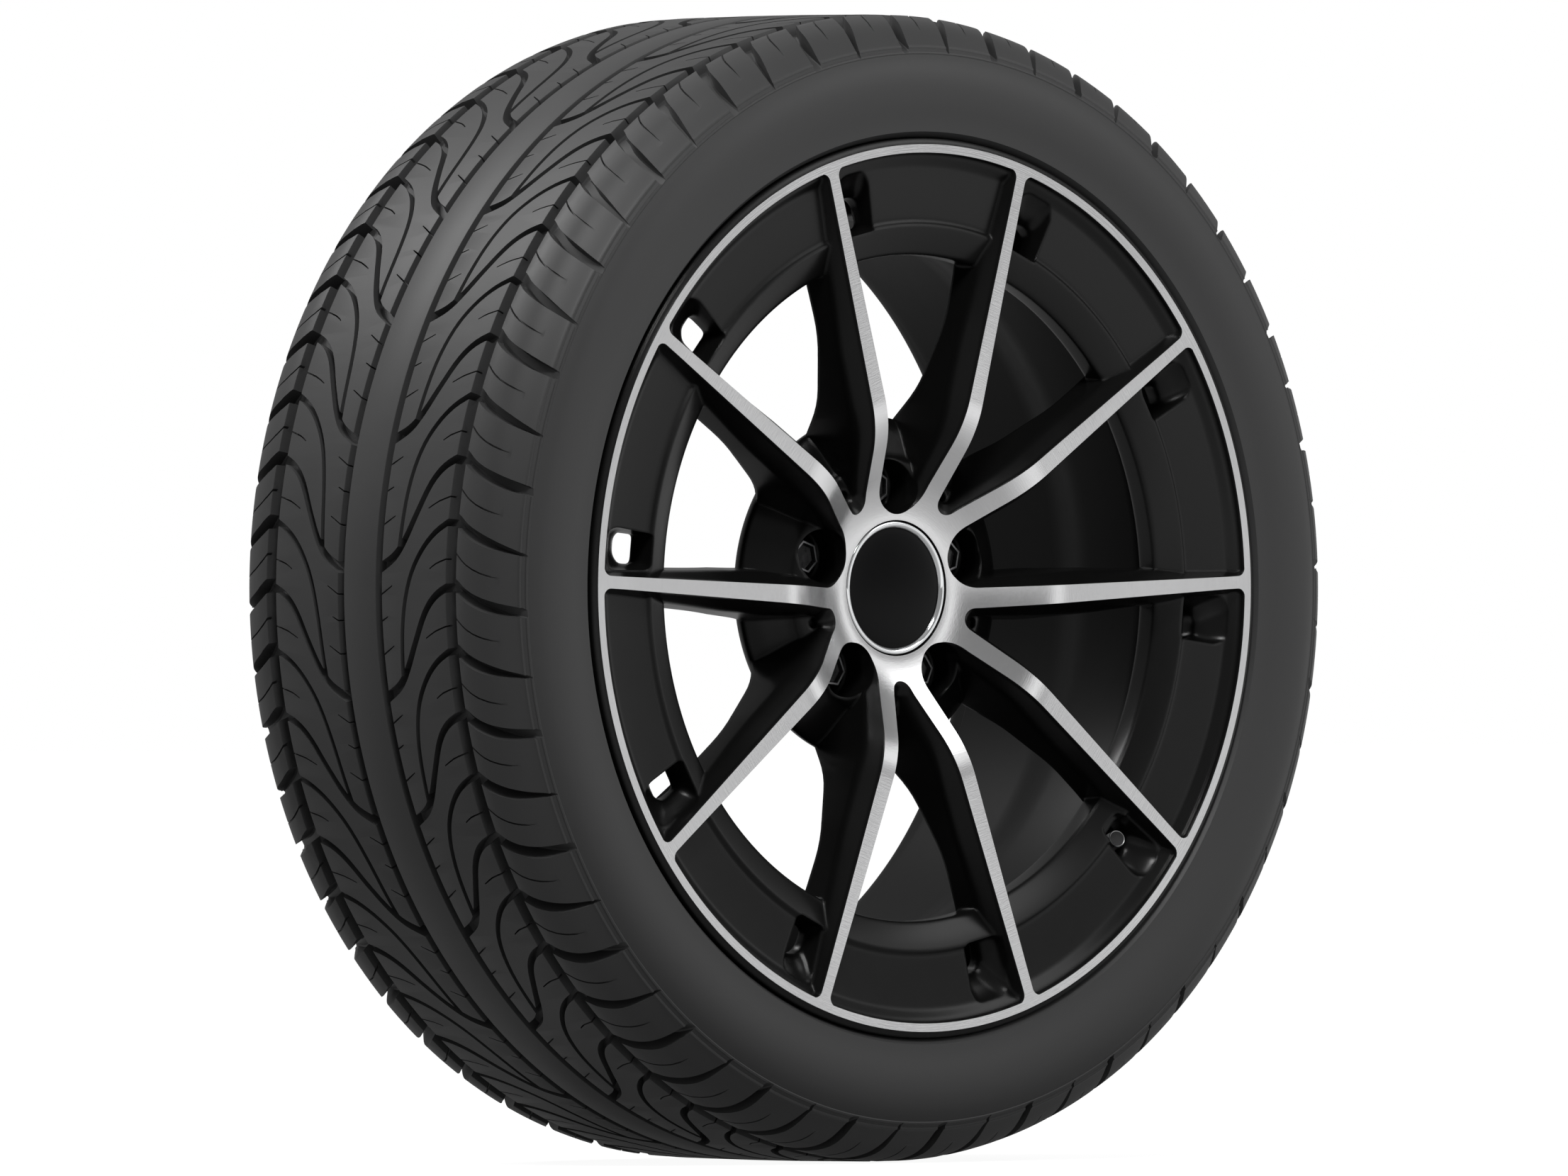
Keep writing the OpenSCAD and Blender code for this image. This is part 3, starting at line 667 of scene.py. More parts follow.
@dataclass
class Casting:
    """The one-piece alloy wheel: rim, ten spokes and hub, with turned bright faces."""

    bead_r: float = 231.0
    ring_in: float = 240.4
    ring_out: float = 245.0
    lip_r: float = 248.5
    half_w: float = 114.3
    seat_h: float = 101.6
    well_r: float = 212.0
    barrel_t: float = 6.5
    well_h: float = 65.8
    hub_sink: float = 25.8
    dive_r: float = 110.0
    dive_slope: float = 0.54
    dive_end: float = 82.0
    hub_r: float = 60.0
    spoke_angle: float = 20.8
    spoke_miss: float = 8.3
    face_w_rim: float = 6.8
    face_w_hub: float = 11.0
    facet_w: float = 7.0
    corner_r: float = 5.0
    panel_r: float = 201.8
    panel_sink: float = 5.4
    window_r: float = 184.0
    window_sink: float = 12.6
    offset_et: float = 44.0
    bore_r: float = 33.3
    bolt_r: float = 56.0
    cap_r: float = 37.3
    core_r: float = 72.2
    ball_r: float = 14.0
    bolt_hole_r: float = 7.5
    socket_r: float = 15.2
    valve_angle: float = 318.4
    valve_r: float = 223.0
    valve_lean: float = 25.0

    def face_sink(self, r: np.ndarray | float) -> np.ndarray:
        """Depth of the bright face below the ring.

        Args:
            r: distances from the axle in mm.

        Returns:
            The depths in mm.
        """
        r = np.asarray(r, float)
        slope = math.atan(self.dive_slope)
        arc_r = (self.dive_r - self.dive_end) / math.sin(slope)
        arc_end = arc_r * (1 - math.cos(slope))
        line_end = arc_end + (self.dive_end - self.hub_r) * self.dive_slope
        arc = arc_r - np.sqrt(np.maximum(arc_r ** 2 - (self.dive_r - np.minimum(r, self.dive_r)) ** 2, 0))
        hub = line_end + (self.hub_sink - line_end) * (
            1 - (np.maximum(0, r - self.cap_r) / (self.hub_r - self.cap_r)) ** 1.6)
        dive = np.where(r >= self.hub_r, arc_end + (self.dive_end - r) * self.dive_slope, hub)
        return np.where(r >= self.dive_r, 0, np.where(r >= self.dive_end, arc, dive))

    @staticmethod
    def blend(a: np.ndarray | float, b: np.ndarray | float, t: np.ndarray | float) -> np.ndarray:
        """Mix two values by a share that is held between 0 and 1."""
        return a + (b - a) * np.clip(t, 0, 1)

    def inset(self, level: int, r: np.ndarray) -> np.ndarray:
        """How far a window is narrower on each side at a level than at the face."""
        if level == 0:
            return 0 * r
        if level == 1:
            return 0 * r + 0.5
        less = self.blend(0, self.facet_w - 3.2, (r - 140) / 90)
        if level == 2:
            return self.blend(4.5, self.facet_w, (r - self.hub_r) / 50) - less
        return self.blend(7, self.facet_w + 3.5, (r - self.hub_r) / 50) - less

    def level_sink(self, level: int, r: np.ndarray) -> np.ndarray:
        """Depth of a level below the bright face."""
        if level == 0:
            return 0 * r
        if level == 1:
            return 0 * r + 1.6
        return self.blend(8, 12, (r - self.hub_r) / 50) - self.blend(0, 4, (r - 160) / 70)

    def outline(self, gap: Gap, level: int) -> Outline:
        """Outline of a window at a level, from the face (0) to the back (3).

        Args:
            gap: the kind of window.
            level: 0 to 3.

        Returns:
            Rows of x and y in mm, for a window drawn on +X.
        """
        narrow = gap is Gap.NARROW
        a = math.radians(self.spoke_angle if narrow else 36 - self.spoke_angle)
        miss = -self.spoke_miss if narrow else self.spoke_miss

        def side(r: np.ndarray | float) -> np.ndarray:
            """Distance of the window's side from a line through the axle."""
            r = np.asarray(r, float)
            half = self.blend(self.face_w_hub, self.face_w_rim, (r - self.hub_r) / 165) / 2
            return miss - half - self.inset(level, r)

        hub_c = 58 + level * 3 if narrow else 59.5 + level * 2
        hub_arc = hub_c * math.sin(a) + float(side(hub_c))
        out_r = self.ring_in + 0.2 - (1 if level > 1 else 0)
        corner_c = out_r - self.corner_r
        corner_a = a + math.asin((float(side(corner_c)) - self.corner_r) / corner_c)
        half: list[tuple[float, float]] = []
        for t in np.linspace(0, 1, 20)[:-1]:
            half.append((out_r * math.cos(corner_a * t), out_r * math.sin(corner_a * t)))
        centre = (corner_c * math.cos(corner_a), corner_c * math.sin(corner_a))
        for t in np.linspace(corner_a, math.pi / 2 + a, 9):
            half.append((centre[0] + self.corner_r * math.cos(t), centre[1] + self.corner_r * math.sin(t)))
        stops = np.concatenate((np.linspace(226, 120, 22), np.linspace(116, 76, 14)))
        angle = a + np.arcsin(side(stops) / stops)
        half.extend(zip(stops * np.cos(angle), stops * np.sin(angle)))
        for t in np.linspace(0, 1, 13)[:-1]:
            turn = math.pi / 2 + a + (math.pi / 2 - a) * t
            half.append((hub_c + hub_arc * math.cos(turn), hub_arc * math.sin(turn)))
        points = half + [(hub_c - hub_arc, 0.0)] + [(x, -y) for x, y in half[:0:-1]]
        return np.array(points)

    def window(self, gap: Gap, degrees: float) -> bpy.types.Object:
        """Cutter of one window, with a rounded facet along the spokes.

        Args:
            gap: the kind of window.
            degrees: its angle round the face.

        Returns:
            A closed object.
        """
        levels = []
        for level in range(4):
            flat = self.outline(gap, level)
            r = np.hypot(flat[:, 0], flat[:, 1])
            height = self.half_w - self.face_sink(r) - self.level_sink(level, r)
            if level == 3:
                height = np.full(len(flat), 30.0)
            levels.append(np.column_stack((flat, height)))
        top, edge, facet, back = levels
        above = top.copy()
        above[:, 2] = self.half_w + 6
        lift = top.copy()
        lift[:, 2] += 0.2
        rings = [above, lift]
        for share in (0.35, 0.7):
            rings.append(top + (edge - top) * share)
        for t in np.linspace(0, 1, 4):
            rings.append(bend(edge + (top - edge) * 0.3, edge, edge + (facet - edge) * 0.12, t))
        deep = back.copy()
        deep[:, 2] = facet[:, 2] - 30
        deep[:, :2] = facet[:, :2] + (back[:, :2] - facet[:, :2]) * 0.75
        for t in np.linspace(0, 1, 6):
            rings.append(bend(edge + (facet - edge) * 0.66, facet, facet + (deep - facet) * 0.09, t))
        rings.append(deep)
        rings.append(back)
        return lofted(f"window_{gap.value}", rings, spun(degrees),
                      ((130, 0, self.half_w + 6), (130, 0, 30)))

    def rim_line(self) -> Profile:
        """Section of the rim with its flanges, seats, well, panel shelf and window lip."""
        h, s, w, b = self.half_w, self.seat_h, self.well_r, self.bead_r
        seat, foot, wall = b - 0.8, b - 1.5, self.barrel_t
        edge, panel = h - self.window_sink, h - self.panel_sink
        foot_h = self.well_h + (foot - w) * WELL_WALL
        return rounded([
            (self.ring_in, h), (self.ring_out, h), (self.ring_out + 0.4, h - 0.7),
            (self.lip_r - 0.6, h - 1.3, 0.4), (self.lip_r, h - 2.4, 0.8), (self.lip_r, s + 4.5, 3),
            (self.lip_r - 1.8, s + 1.4, 1.5), (self.lip_r - 5, s, 2), (b + 3, s, 1.5), (b, s - 2.8, 2),
            (seat, s - 20, 1), (b + 0.4, s - 23, 0.8), (b + 0.2, s - 25.5, 1), (foot, foot_h, 4),
            (w, self.well_h, 8), (w, 20, 8), (w + 9, -4, 8), (w + 9, 27 - s, 2), (seat, 23 - s, 1),
            (b + 0.4, 22 - s), (seat, 20 - s, 1), (b, 2.8 - s, 2), (b + 3, -s, 1.5),
            (self.lip_r - 5, -s, 2), (self.lip_r - 1.8, -s - 1.4, 1.5), (self.lip_r, -s - 4.5, 3),
            (self.lip_r, 2.4 - h, 1.2), (self.lip_r - 1.5, -h, 1.2), (self.lip_r - 7, -h, 3),
            (self.lip_r - 11, 2.5 - h, 3), (b - 6, 17 - h, 5), (b - 8.5, 30 - s, 6),
            (w + 9 - wall, 22 - s, 8), (w + 9 - wall, -6, 8), (w - wall, 18, 8),
            (w - wall, self.well_h + 3.2, 8), (b - 9, self.well_h + 11, 5), (b - 8, s - 18, 3),
            (b - 15, s - 12, 4), (self.panel_r + 2, s - 10, 4), (self.window_r + 5, s - 15, 3),
            (self.window_r + 1.5, s - 14.5, 1), (self.window_r, s - 12, 1.5),
            (self.window_r, edge - 1.4, 1.2), (self.window_r + 1.5, edge, 1.2),
            (self.panel_r - 1.4, panel - 1.0, 0.9), (self.panel_r + 0.6, panel - 3.0, 0.8),
            (self.panel_r + 3, panel - 3.0, 0.6), (self.ring_in - 7.4, panel - 1.6, 1.4),
            (self.ring_in - 2.8, panel + 1.5, 0.9), (self.ring_in - 1.0, panel + 2.0, 0.6),
        ], 3)

    def disc_line(self) -> Profile:
        """Section of the disc that the spokes and the hub are cut from."""
        radii = np.concatenate((np.linspace(self.cap_r - 1, 60, 9), np.linspace(64, 80, 4),
                                np.linspace(82, self.dive_r, 12)))
        front = [(self.bore_r - 1, self.half_w - self.hub_sink)]
        front += [(float(r), float(self.half_w - self.face_sink(r))) for r in radii]
        back = [(self.ring_in + 2.4, self.half_w), (self.ring_in + 2.4, self.half_w - 8),
                (self.bead_r - 4, self.half_w - 16), (self.bead_r - 4, self.well_h + 13.5),
                (self.bead_r - 12, self.well_h + 13), (self.window_r, self.well_h + 20, 10),
                (150, self.well_h + 23, 12), (112, self.well_h + 13, 10), (91, self.offset_et + 16, 6),
                (76, self.offset_et + 2, 2), (73, self.offset_et), (self.bore_r - 1, self.offset_et)]
        return front + rounded(back)

    def core_line(self) -> Profile:
        """Section of the hub core that shows between the spokes and holds the bolts."""
        e, c, r = self.offset_et, self.half_w - self.hub_sink, self.core_r
        return rounded([(self.bore_r - 1, e), (r - 0.2, e, 0.8), (r + 1.2, e + 1.5, 1.2), (r + 22, e + 14, 3),
                        (r + 24, e + 21, 3), (r + 17, e + 27, 4), (r + 0.8, c - 9, 4),
                        (r - 1, c - 5.4, 2.0), (r - 8, c - 2.2, 4), (self.bore_r - 1, c - 1.8)], 5)

    def hub_line(self) -> Profile:
        """Section taken out of the hub for the cap and the centre bore."""
        e, b, c = self.offset_et, self.bore_r, self.half_w - self.hub_sink
        return [(0, e - 1), (b + 2, e - 1), (b, e + 1.5), (b, e + 16), (b + 1.6, e + 16),
                (b + 1.6, c - 16.2), (b + 0.3, c - 15), (b + 0.3, c - 7), (self.cap_r + 0.3, c - 7),
                (self.cap_r + 0.3, c + 8), (0, c + 8)]

    def dimple(self) -> bpy.types.Object:
        """Cutter of the small round recess in the bottom of a narrow window."""
        c = self.half_w - self.hub_sink
        line = [(0.0, c - 8), (2.6, c - 8), (3.0, c - 7.4), (3.0, c - 2.6), (3.6, c - 1.6), (3.6, c + 4),
                (0.0, c + 4)]
        return self.post("dimple", line, (self.core_r - 9.5, 0.0), 32)

    def bolt_seat(self) -> bpy.types.Object:
        """Cutter of one bolt hole with its ball seat and socket, on the first bolt's place."""
        ball_h, hole, socket = self.offset_et + BALL_RISE, self.bolt_hole_r, self.socket_r
        line = [(0.0, self.offset_et - 1), (hole, self.offset_et - 1)]
        low = math.degrees(math.acos(hole / self.ball_r))
        for a in np.linspace(-low, 0, 8):
            turn = math.radians(a)
            line.append((self.ball_r * math.cos(turn), ball_h + self.ball_r * math.sin(turn)))
        line += [(socket, ball_h + 0.6), (socket, ball_h + 52), (0.0, ball_h + 52)]
        return self.post("bolt_seat", line, (self.bolt_r, 0.0), 64)

    @staticmethod
    def post(name: str, line: Sequence[tuple[float, float]], spot: tuple[float, float], segments: int
             ) -> bpy.types.Object:
        """Turn a section about a line beside the axle.

        Args:
            name: name of the object.
            line: section points as (radius, height) in mm, the first and last on the line.
            spot: x and y of the line.
            segments: steps round it.

        Returns:
            A closed object.
        """
        made = turned(name, line, segments)
        offset = Vector((spot[0] * MM, 0, spot[1] * MM))
        for vertex in made.data.vertices:
            vertex.co += offset
        return made

    def pocket(self, reach: float) -> bpy.types.Object:
        """Cutter of the wedge-shaped pocket and its slot beside a spoke.

        Args:
            reach: how far the pocket runs towards the spoke, from the slot's middle, in mm.

        Returns:
            A closed object, drawn on +X.
        """
        top_h, slope_h, floor_h = self.half_w - self.panel_sink + 1, self.half_w - 9, self.half_w - 18.4
        inner, side, outer = self.panel_r - 0.6, 8.6, self.ring_in - 6.4
        mouth = rounded([(inner - 1.6, -side - 0.6, 3), (outer - 6, -side - 1.6, 4), (outer, -side + 2, 4),
                         (outer, reach - 6, 4), (outer - 4, reach, 4), (inner - 1.6, reach - 2.5, 4)])
        slot = rounded([(inner, -side, 3), (inner + 14.5, -side, 3), (inner + 18, -side + 3.5, 3),
                        (inner + 18, side - 5, 3), (inner + 13, side, 4), (inner, side - 1, 4)])
        mouth_ring, slot_ring = np.array(mouth), np.array(slot)
        rings = [at_height(mouth_ring, top_h), at_height(mouth_ring, slope_h + 2)]
        for share, height in ((0.16, 0.9), (0.5, 0.58), (0.8, 0.26), (0.94, 0.08), (1.0, -0.1)):
            flat = mouth_ring + (slot_ring - mouth_ring) * share
            rings.append(at_height(flat, floor_h + (slope_h - floor_h) * height))
        rings.append(at_height(slot_ring, floor_h - 14))
        return lofted("pocket", rings, spun(0.0))

    def valve_relief(self) -> bpy.types.Object:
        """Cutter of the low edge that lets the dust cap stand out of its slot."""
        low, high = self.half_w - 13.4, self.half_w - self.panel_sink + 1
        flat = np.array(rounded([(self.panel_r - 7, -7.5, 4), (self.panel_r + 9, -8.6, 2),
                                 (self.panel_r + 9, 8.0, 2), (self.panel_r - 6, 7.0, 4)]))
        wide = (flat - flat.mean(axis=0)) * 1.16 + flat.mean(axis=0)
        rings = [at_height(flat, low), at_height(flat + (wide - flat) * 0.3, low + 1), at_height(wide, high)]
        return lofted("valve_relief", rings, spun(self.valve_angle))

    def valve_place(self, points: np.ndarray) -> np.ndarray:
        """Take points drawn along the valve, its foot at the origin, to the frame."""
        lean, turn = math.radians(-self.valve_lean), math.radians(self.valve_angle)
        foot = self.well_h + (self.valve_r - self.well_r) * WELL_WALL
        x = points[:, 0] * math.cos(lean) + points[:, 2] * math.sin(lean) + self.valve_r
        z = -points[:, 0] * math.sin(lean) + points[:, 2] * math.cos(lean) + foot
        return to_frame(np.column_stack((x * math.cos(turn) - points[:, 1] * math.sin(turn),
                                         x * math.sin(turn) + points[:, 1] * math.cos(turn), z)))

    def valve_hole(self) -> bpy.types.Object:
        """Cutter of the valve's bore and its two spot faces."""
        steps = ((5.75, -20), (5.75, -12), (10, -12), (10, 0.5), (5.75, 0.5), (5.75, self.barrel_t - 0.5),
                 (10.5, self.barrel_t - 0.5), (10.5, self.barrel_t + 9.5))
        angle = np.linspace(0, 2 * math.pi, 48, endpoint=False)
        rings = [circle(r, z, angle) for r, z in steps]
        return lofted("valve_hole", rings, self.valve_place)

    def dress(self, obj: bpy.types.Object, finishes: Finishes) -> None:
        """Give the front faces the turned finish, the barrel a dull coat and the rest the black paint."""
        mesh = obj.data
        finishes.paint(obj, "paint", "bright", "barrel")
        count = len(mesh.polygons)
        centre, normal = np.zeros(count * 3), np.zeros(count * 3)
        mesh.polygons.foreach_get("center", centre)
        mesh.polygons.foreach_get("normal", normal)
        centre, normal = centre.reshape(-1, 3) / MM, normal.reshape(-1, 3)
        r = np.hypot(centre[:, 0], centre[:, 2])
        miss = np.abs(-centre[:, 1] - (self.half_w - self.face_sink(r)))
        bright = (miss < 0.15) & (-normal[:, 1] > 0.7) & (r > self.cap_r + 0.3) & (r < self.ring_out)
        inside = (r > self.window_r + 14) & (-centre[:, 1] < self.seat_h - 12.5)
        slots = np.where(bright, 1, np.where(inside, 2, 0)).astype(np.int32)
        mesh.polygons.foreach_set("material_index", slots)

    def build(self, finishes: Finishes, repeat: Repeater) -> bpy.types.Object:
        """Build the casting.

        Args:
            finishes: the materials.
            repeat: the tree that sets copies round the axle.

        Returns:
            The finished object.
        """
        rim = turned("wheel_casting", self.rim_line(), 288)
        disc = turned("disc", self.disc_line(), 288)
        for gap, first in ((Gap.NARROW, NARROW_AT), (Gap.BOLT, BOLT_AT)):
            combine(disc, repeat.spread(self.window(gap, 0.0), PAIRS, first))
        combine(disc, turned("core", self.core_line(), 240), "UNION")
        combine(disc, repeat.spread(self.dimple(), PAIRS, NARROW_AT))
        combine(rim, disc, "UNION")
        combine(rim, turned("hub_bore", self.hub_line(), 192))
        combine(rim, repeat.spread(self.bolt_seat(), PAIRS, BOLT_AT))
        for reach, first in ((17.6, -5.4), (13.8, 30.1)):
            combine(rim, repeat.spread(self.pocket(reach), PAIRS, first))
        combine(rim, self.valve_relief())
        combine(rim, self.valve_hole())
        soften(rim, 28)
        self.dress(rim, finishes)
        return rim


@dataclass
class Tyre:
    """The low tyre with its directional tread."""

    radius: float = 317.7
    half: float = 117.0
    depth: float = 7.5
    pitches: int = 56
    centre_rib: float = 13.1
    shoulder_at: float = 70.0
    lip_r: float = 248.5
    bead_r: float = 231.0
    rim_half: float = 114.3
    seat_h: float = 101.6
    long_groove: tuple = ((74, -1.6, 4.6), (62, 4.2, 4.2), (53, 13.5, 3.9), (44, 30, 3.7), (36, 44.5, 4),
                          (28, 54, 4.8), (15.6, 61, 5.6))
    short_groove: tuple = ((74, -38, 3.6), (60, -30.4, 3.2), (49, -19.5, 2.9), (40.5, -4.5, 2.7),
                           (35, 17, 2.6), (31.6, 49, 2.6))
    shoulder_groove: tuple = ((72, -4.5, 6.2), (78, -1.2, 6.2), (84, 3.4, 6.0), (90, 7.0, 6.2),
                              (97, 10.2, 6.6), (104, 12.8, 6.4), (113, 15.2, 5.2))
    tapered_groove: tuple = ((72, -4.5, 6.2), (78, -1.2, 6.2), (84, 3.4, 6.0), (90, 7.0, 6.0),
                             (97, 10.4, 5.4), (104, 13.6, 3.8), (113, 17.4, 1.2))
    shoulder_sipe: tuple = ((76, 15.0, 1.0), (82, 20.6, 1.0), (89, 25.4, 1.0), (99.5, 29.6, 1.0),
                            (111, 32.2, 0.8))
    sipes: tuple = (((17.5, 3.8), (26.7, -1.3)), ((17.5, 18.3), (22.9, 15.7)), ((17.5, 36.8), (26.7, 31.7)))

    def section(self) -> Profile:
        """The closed section of the tyre as (radius, height) points."""
        r, u, c, g = self.radius, self.half, self.centre_rib, self.shoulder_at
        floor = r - self.depth
        tread = rounded([
            (0, r), (c, r, 0.5), (c + 0.6, floor, 0.8), (c + 4.4, floor, 0.8), (c + 5, r, 0.5),
            (g, r - 0.5, 0.5), (g + 0.8, floor, 0.8), (g + 7.2, floor, 0.8), (g + 8, r - 0.8, 0.5),
            (g + 12, r - 0.9)], 2)[:-1]
        wall = smooth_line([
            (u - 33, r - 1), (u - 27, r - 2.4), (u - 21, r - 4.8), (u - 16, r - 8.4), (u - 12, r - 12.6),
            (u - 8.9, r - 16.4), (u - 7.5, r - 18.0)], 2)
        ridge = [(u - 6.7, r - 18.4), (u - 6.4, r - 19.3), (u - 6.5, r - 19.8), (u - 5.5, r - 21.3),
                 (u - 4.7, r - 21.6), (u - 4.4, r - 22.5), (u - 4.6, r - 23.1)]
        lower = smooth_line([
            (u - 3.4, r - 25.3), (u - 2.0, r - 28.6), (u - 0.8, r - 33), (u - 0.02, r - 40),
            (u - 0.6, r - 49), (u - 2.4, r - 57.5), (u - 3.2, r - 62), (self.rim_half - 1, self.lip_r + 3.5)], 2)
        bead = [(self.rim_half - 4.5, self.lip_r + 0.7), (self.seat_h + 4.3, self.lip_r + 0.3),
                (self.seat_h + 1.1, self.lip_r - 1.6), (self.seat_h - 0.3, self.lip_r - 4.9),
                (self.seat_h - 0.3, self.bead_r + 3.3), (self.seat_h - 2.9, self.bead_r + 0.3),
                (self.seat_h - 17, self.bead_r - 0.35), (self.seat_h - 18, self.bead_r + 0.8),
                (self.seat_h - 16, self.bead_r + 12), (self.seat_h - 3, self.lip_r + 4),
                (self.seat_h + 4, self.lip_r + 16), (u - 8.5, r - 42), (u - 12, r - 29), (u - 20, r - 21),
                (u - 33, r - 15.5), (60, r - 13.2), (0, r - 13)]
        half = [tuple(p) for p in tread] + [tuple(p) for p in wall] + ridge + [tuple(p) for p in lower] + bead
        mirrored = [(-a, b) for a, b in half[-2:0:-1]]
        return [(b, a) for a, b in half + mirrored]

    def wrap(self, points: np.ndarray) -> np.ndarray:
        """Take points given as across, along and radius onto the tread.

        Args:
            points: rows of distance across, length along and radius, in mm.

        Returns:
            Rows in the wheel's frame, in metres.
        """
        across, along, radius = points.T
        angle = along / self.radius
        return to_frame(np.column_stack((radius * np.cos(angle), radius * np.sin(angle), across)))

    def trench(self, name: str, line: Sequence[tuple[float, ...]], side: Side, pieces: int,
               floor: Callable[[float], float], flare: float) -> bpy.types.Object:
        """Cutter of one groove that follows a line over the tread.

        Args:
            name: name of the object.
            line: points of distance across, length along and width.
            side: the half of the tread.
            pieces: pieces between two points.
            floor: radius of the groove's floor at a distance across.
            flare: how much wider the groove is at the top.

        Returns:
            A closed object.
        """
        path = smooth_line(line, pieces)
        rings = []
        for i, (across, along, width) in enumerate(path):
            step = path[min(i + 1, len(path) - 1)][:2] - path[max(i - 1, 0)][:2]
            normal = np.array((-step[1], step[0])) / np.linalg.norm(step)
            bottom = floor(across)
            ring = []
            for share, height in ((-0.5, self.radius + 4), (-0.5, bottom + 0.8), (-0.36, bottom),
                                  (0.36, bottom), (0.5, bottom + 0.8), (0.5, self.radius + 4)):
                reach = share * (width + (flare if height > bottom + 1 else 0.0))
                ring.append((side.value * (across + normal[0] * reach), along + normal[1] * reach, height))
            rings.append(np.array(ring))
        return lofted(name, rings, self.wrap)

    def flat_floor(self, across: float) -> float:
        """Radius of the main grooves' floor."""
        return self.radius - self.depth

    def sipe_floor(self, across: float) -> float:
        """Radius of the sipes' floor."""
        return self.radius - 4.5

    def shoulder_floor(self, across: float) -> float:
        """Radius of the floor that slopes down over the shoulder and runs out there."""
        return self.radius - self.depth - (across - self.shoulder_at - 4) * math.tan(math.radians(21))

    def shoulder_sipe_floor(self, across: float) -> float:
        """Radius of the floor of the sipes that cross the shoulder."""
        drop = max(0.0, across - 88) ** 2 / 38
        return self.radius - 4.2 - drop

    def build(self, finishes: Finishes, repeat: Repeater) -> bpy.types.Object:
        """Build the tyre.

        Args:
            finishes: the materials.
            repeat: the tree that sets copies round the axle.

        Returns:
            The finished object.
        """
        body = turned("tyre_carcass", self.section(), 300)
        for side in Side:
            for name, line in (("long_groove", self.long_groove), ("short_groove", self.short_groove)):
                tool = self.trench(name, line, side, 4, self.flat_floor, 0.5)
                combine(body, repeat.spread(tool, self.pitches // 2))
            step = 360 / self.pitches
            for name, line, first in (("shoulder_groove", self.shoulder_groove, 0.0),
                                      ("tapered_groove", self.tapered_groove, step)):
                tool = self.trench(name, line, side, 2, self.shoulder_floor, 0.6)
                combine(body, repeat.spread(tool, self.pitches // 2, first))
            tool = self.trench("shoulder_sipe", self.shoulder_sipe, side, 2, self.shoulder_sipe_floor, 0.0)
            combine(body, repeat.spread(tool, self.pitches))
            for name, line, count in self.thin_cuts():
                tool = self.trench(name, line, side, 2, self.sipe_floor, 0.0)
                combine(body, repeat.spread(tool, count))
        soften(body, 32)
        finishes.paint(body, "rubber")
        return body

    def thin_cuts(self) -> list[tuple[str, Profile, int]]:
        """The sipes, each with its name, its line and its number round the tyre."""
        cuts: list[tuple[str, Profile, int]] = []
        for start, end in self.sipes:
            middle = ((start[0] + end[0]) / 2, (start[1] + end[1]) / 2)
            cuts.append(("centre_sipe", [(*start, 1.0), (*middle, 0.9), (*end, 0.6)], self.pitches // 2))
        cuts.append(("rib_sipe", [(70.6, -16, 0.9), (62, -13.4, 0.9), (56.7, -10.4, 0.7)], self.pitches // 2))
        cuts.append(("rib_sipe", [(70.6, 20.8, 0.9), (61, 23.6, 0.9), (52.9, 27.6, 0.7)], self.pitches // 2))
        return cuts


@dataclass
class WheelBolts:
    """The five wheel bolts with ball collars and hexagon heads."""

    offset_et: float = 44.0
    pitch_r: float = 56.0
    thread_r: float = 6.8
    shank_r: float = 7.1
    hexagon: float = 17.0
    ball_r: float = 13.98
    collar_r: float = 11.4

    def build(self, finishes: Finishes, repeat: Repeater) -> bpy.types.Object:
        """Build all bolts as one piece.

        Args:
            finishes: the materials.
            repeat: the tree that sets copies round the axle.

        Returns:
            The finished object.
        """
        e, ball = self.offset_et, self.ball_r
        ball_h, front = e + BALL_RISE, e + 28.9
        line = [(0.0, e - 12.5), (self.thread_r - 1.2, e - 12.5), (self.thread_r, e - 11)]
        for k in range(6):
            line += [(self.thread_r, e - 10.5 + k * 1.5), (self.thread_r - 0.7, e - 9.75 + k * 1.5)]
        line += [(self.thread_r, e - 0.8), (self.shank_r, e - 0.5), (self.shank_r, e + 9)]
        for a in np.linspace(-math.acos(9.0 / ball), -math.acos(self.collar_r / ball), 6):
            line.append((ball * math.cos(a), ball_h + ball * math.sin(a)))
        line += [(self.collar_r, ball_h - 5.8), (10.8, ball_h - 5.2), (0.0, ball_h - 5.2)]
        bolt = Casting.post("wheel_bolt_set", line, (self.pitch_r, 0.0), 48)
        corner = self.hexagon / 2 / math.cos(math.radians(30))
        ring = np.array([(math.cos(math.radians(60 * k)), math.sin(math.radians(60 * k))) for k in range(6)])
        levels = ((corner, ball_h - 6), (corner, front - 0.8), (corner - 0.7, front), (corner - 1.9, front),
                  (corner - 2.4, front - 0.8), (corner - 2.6, front - 3), (0.6, front - 3.4))
        rings = []
        for radius, height in levels:
            rings.append(at_height(ring * radius, height) + np.array((self.pitch_r, 0, 0)))
        combine(bolt, lofted("bolt_head", rings, to_frame), "UNION")
        repeat.spread(bolt, PAIRS, BOLT_AT, finishes["bolt"])
        soften(bolt, 25)
        finishes.paint(bolt, "bolt", "hexagon")
        for face in bolt.data.polygons:
            face.material_index = int(face.normal.y < -0.6 and -face.center.y / MM > front - 0.6)
        return bolt


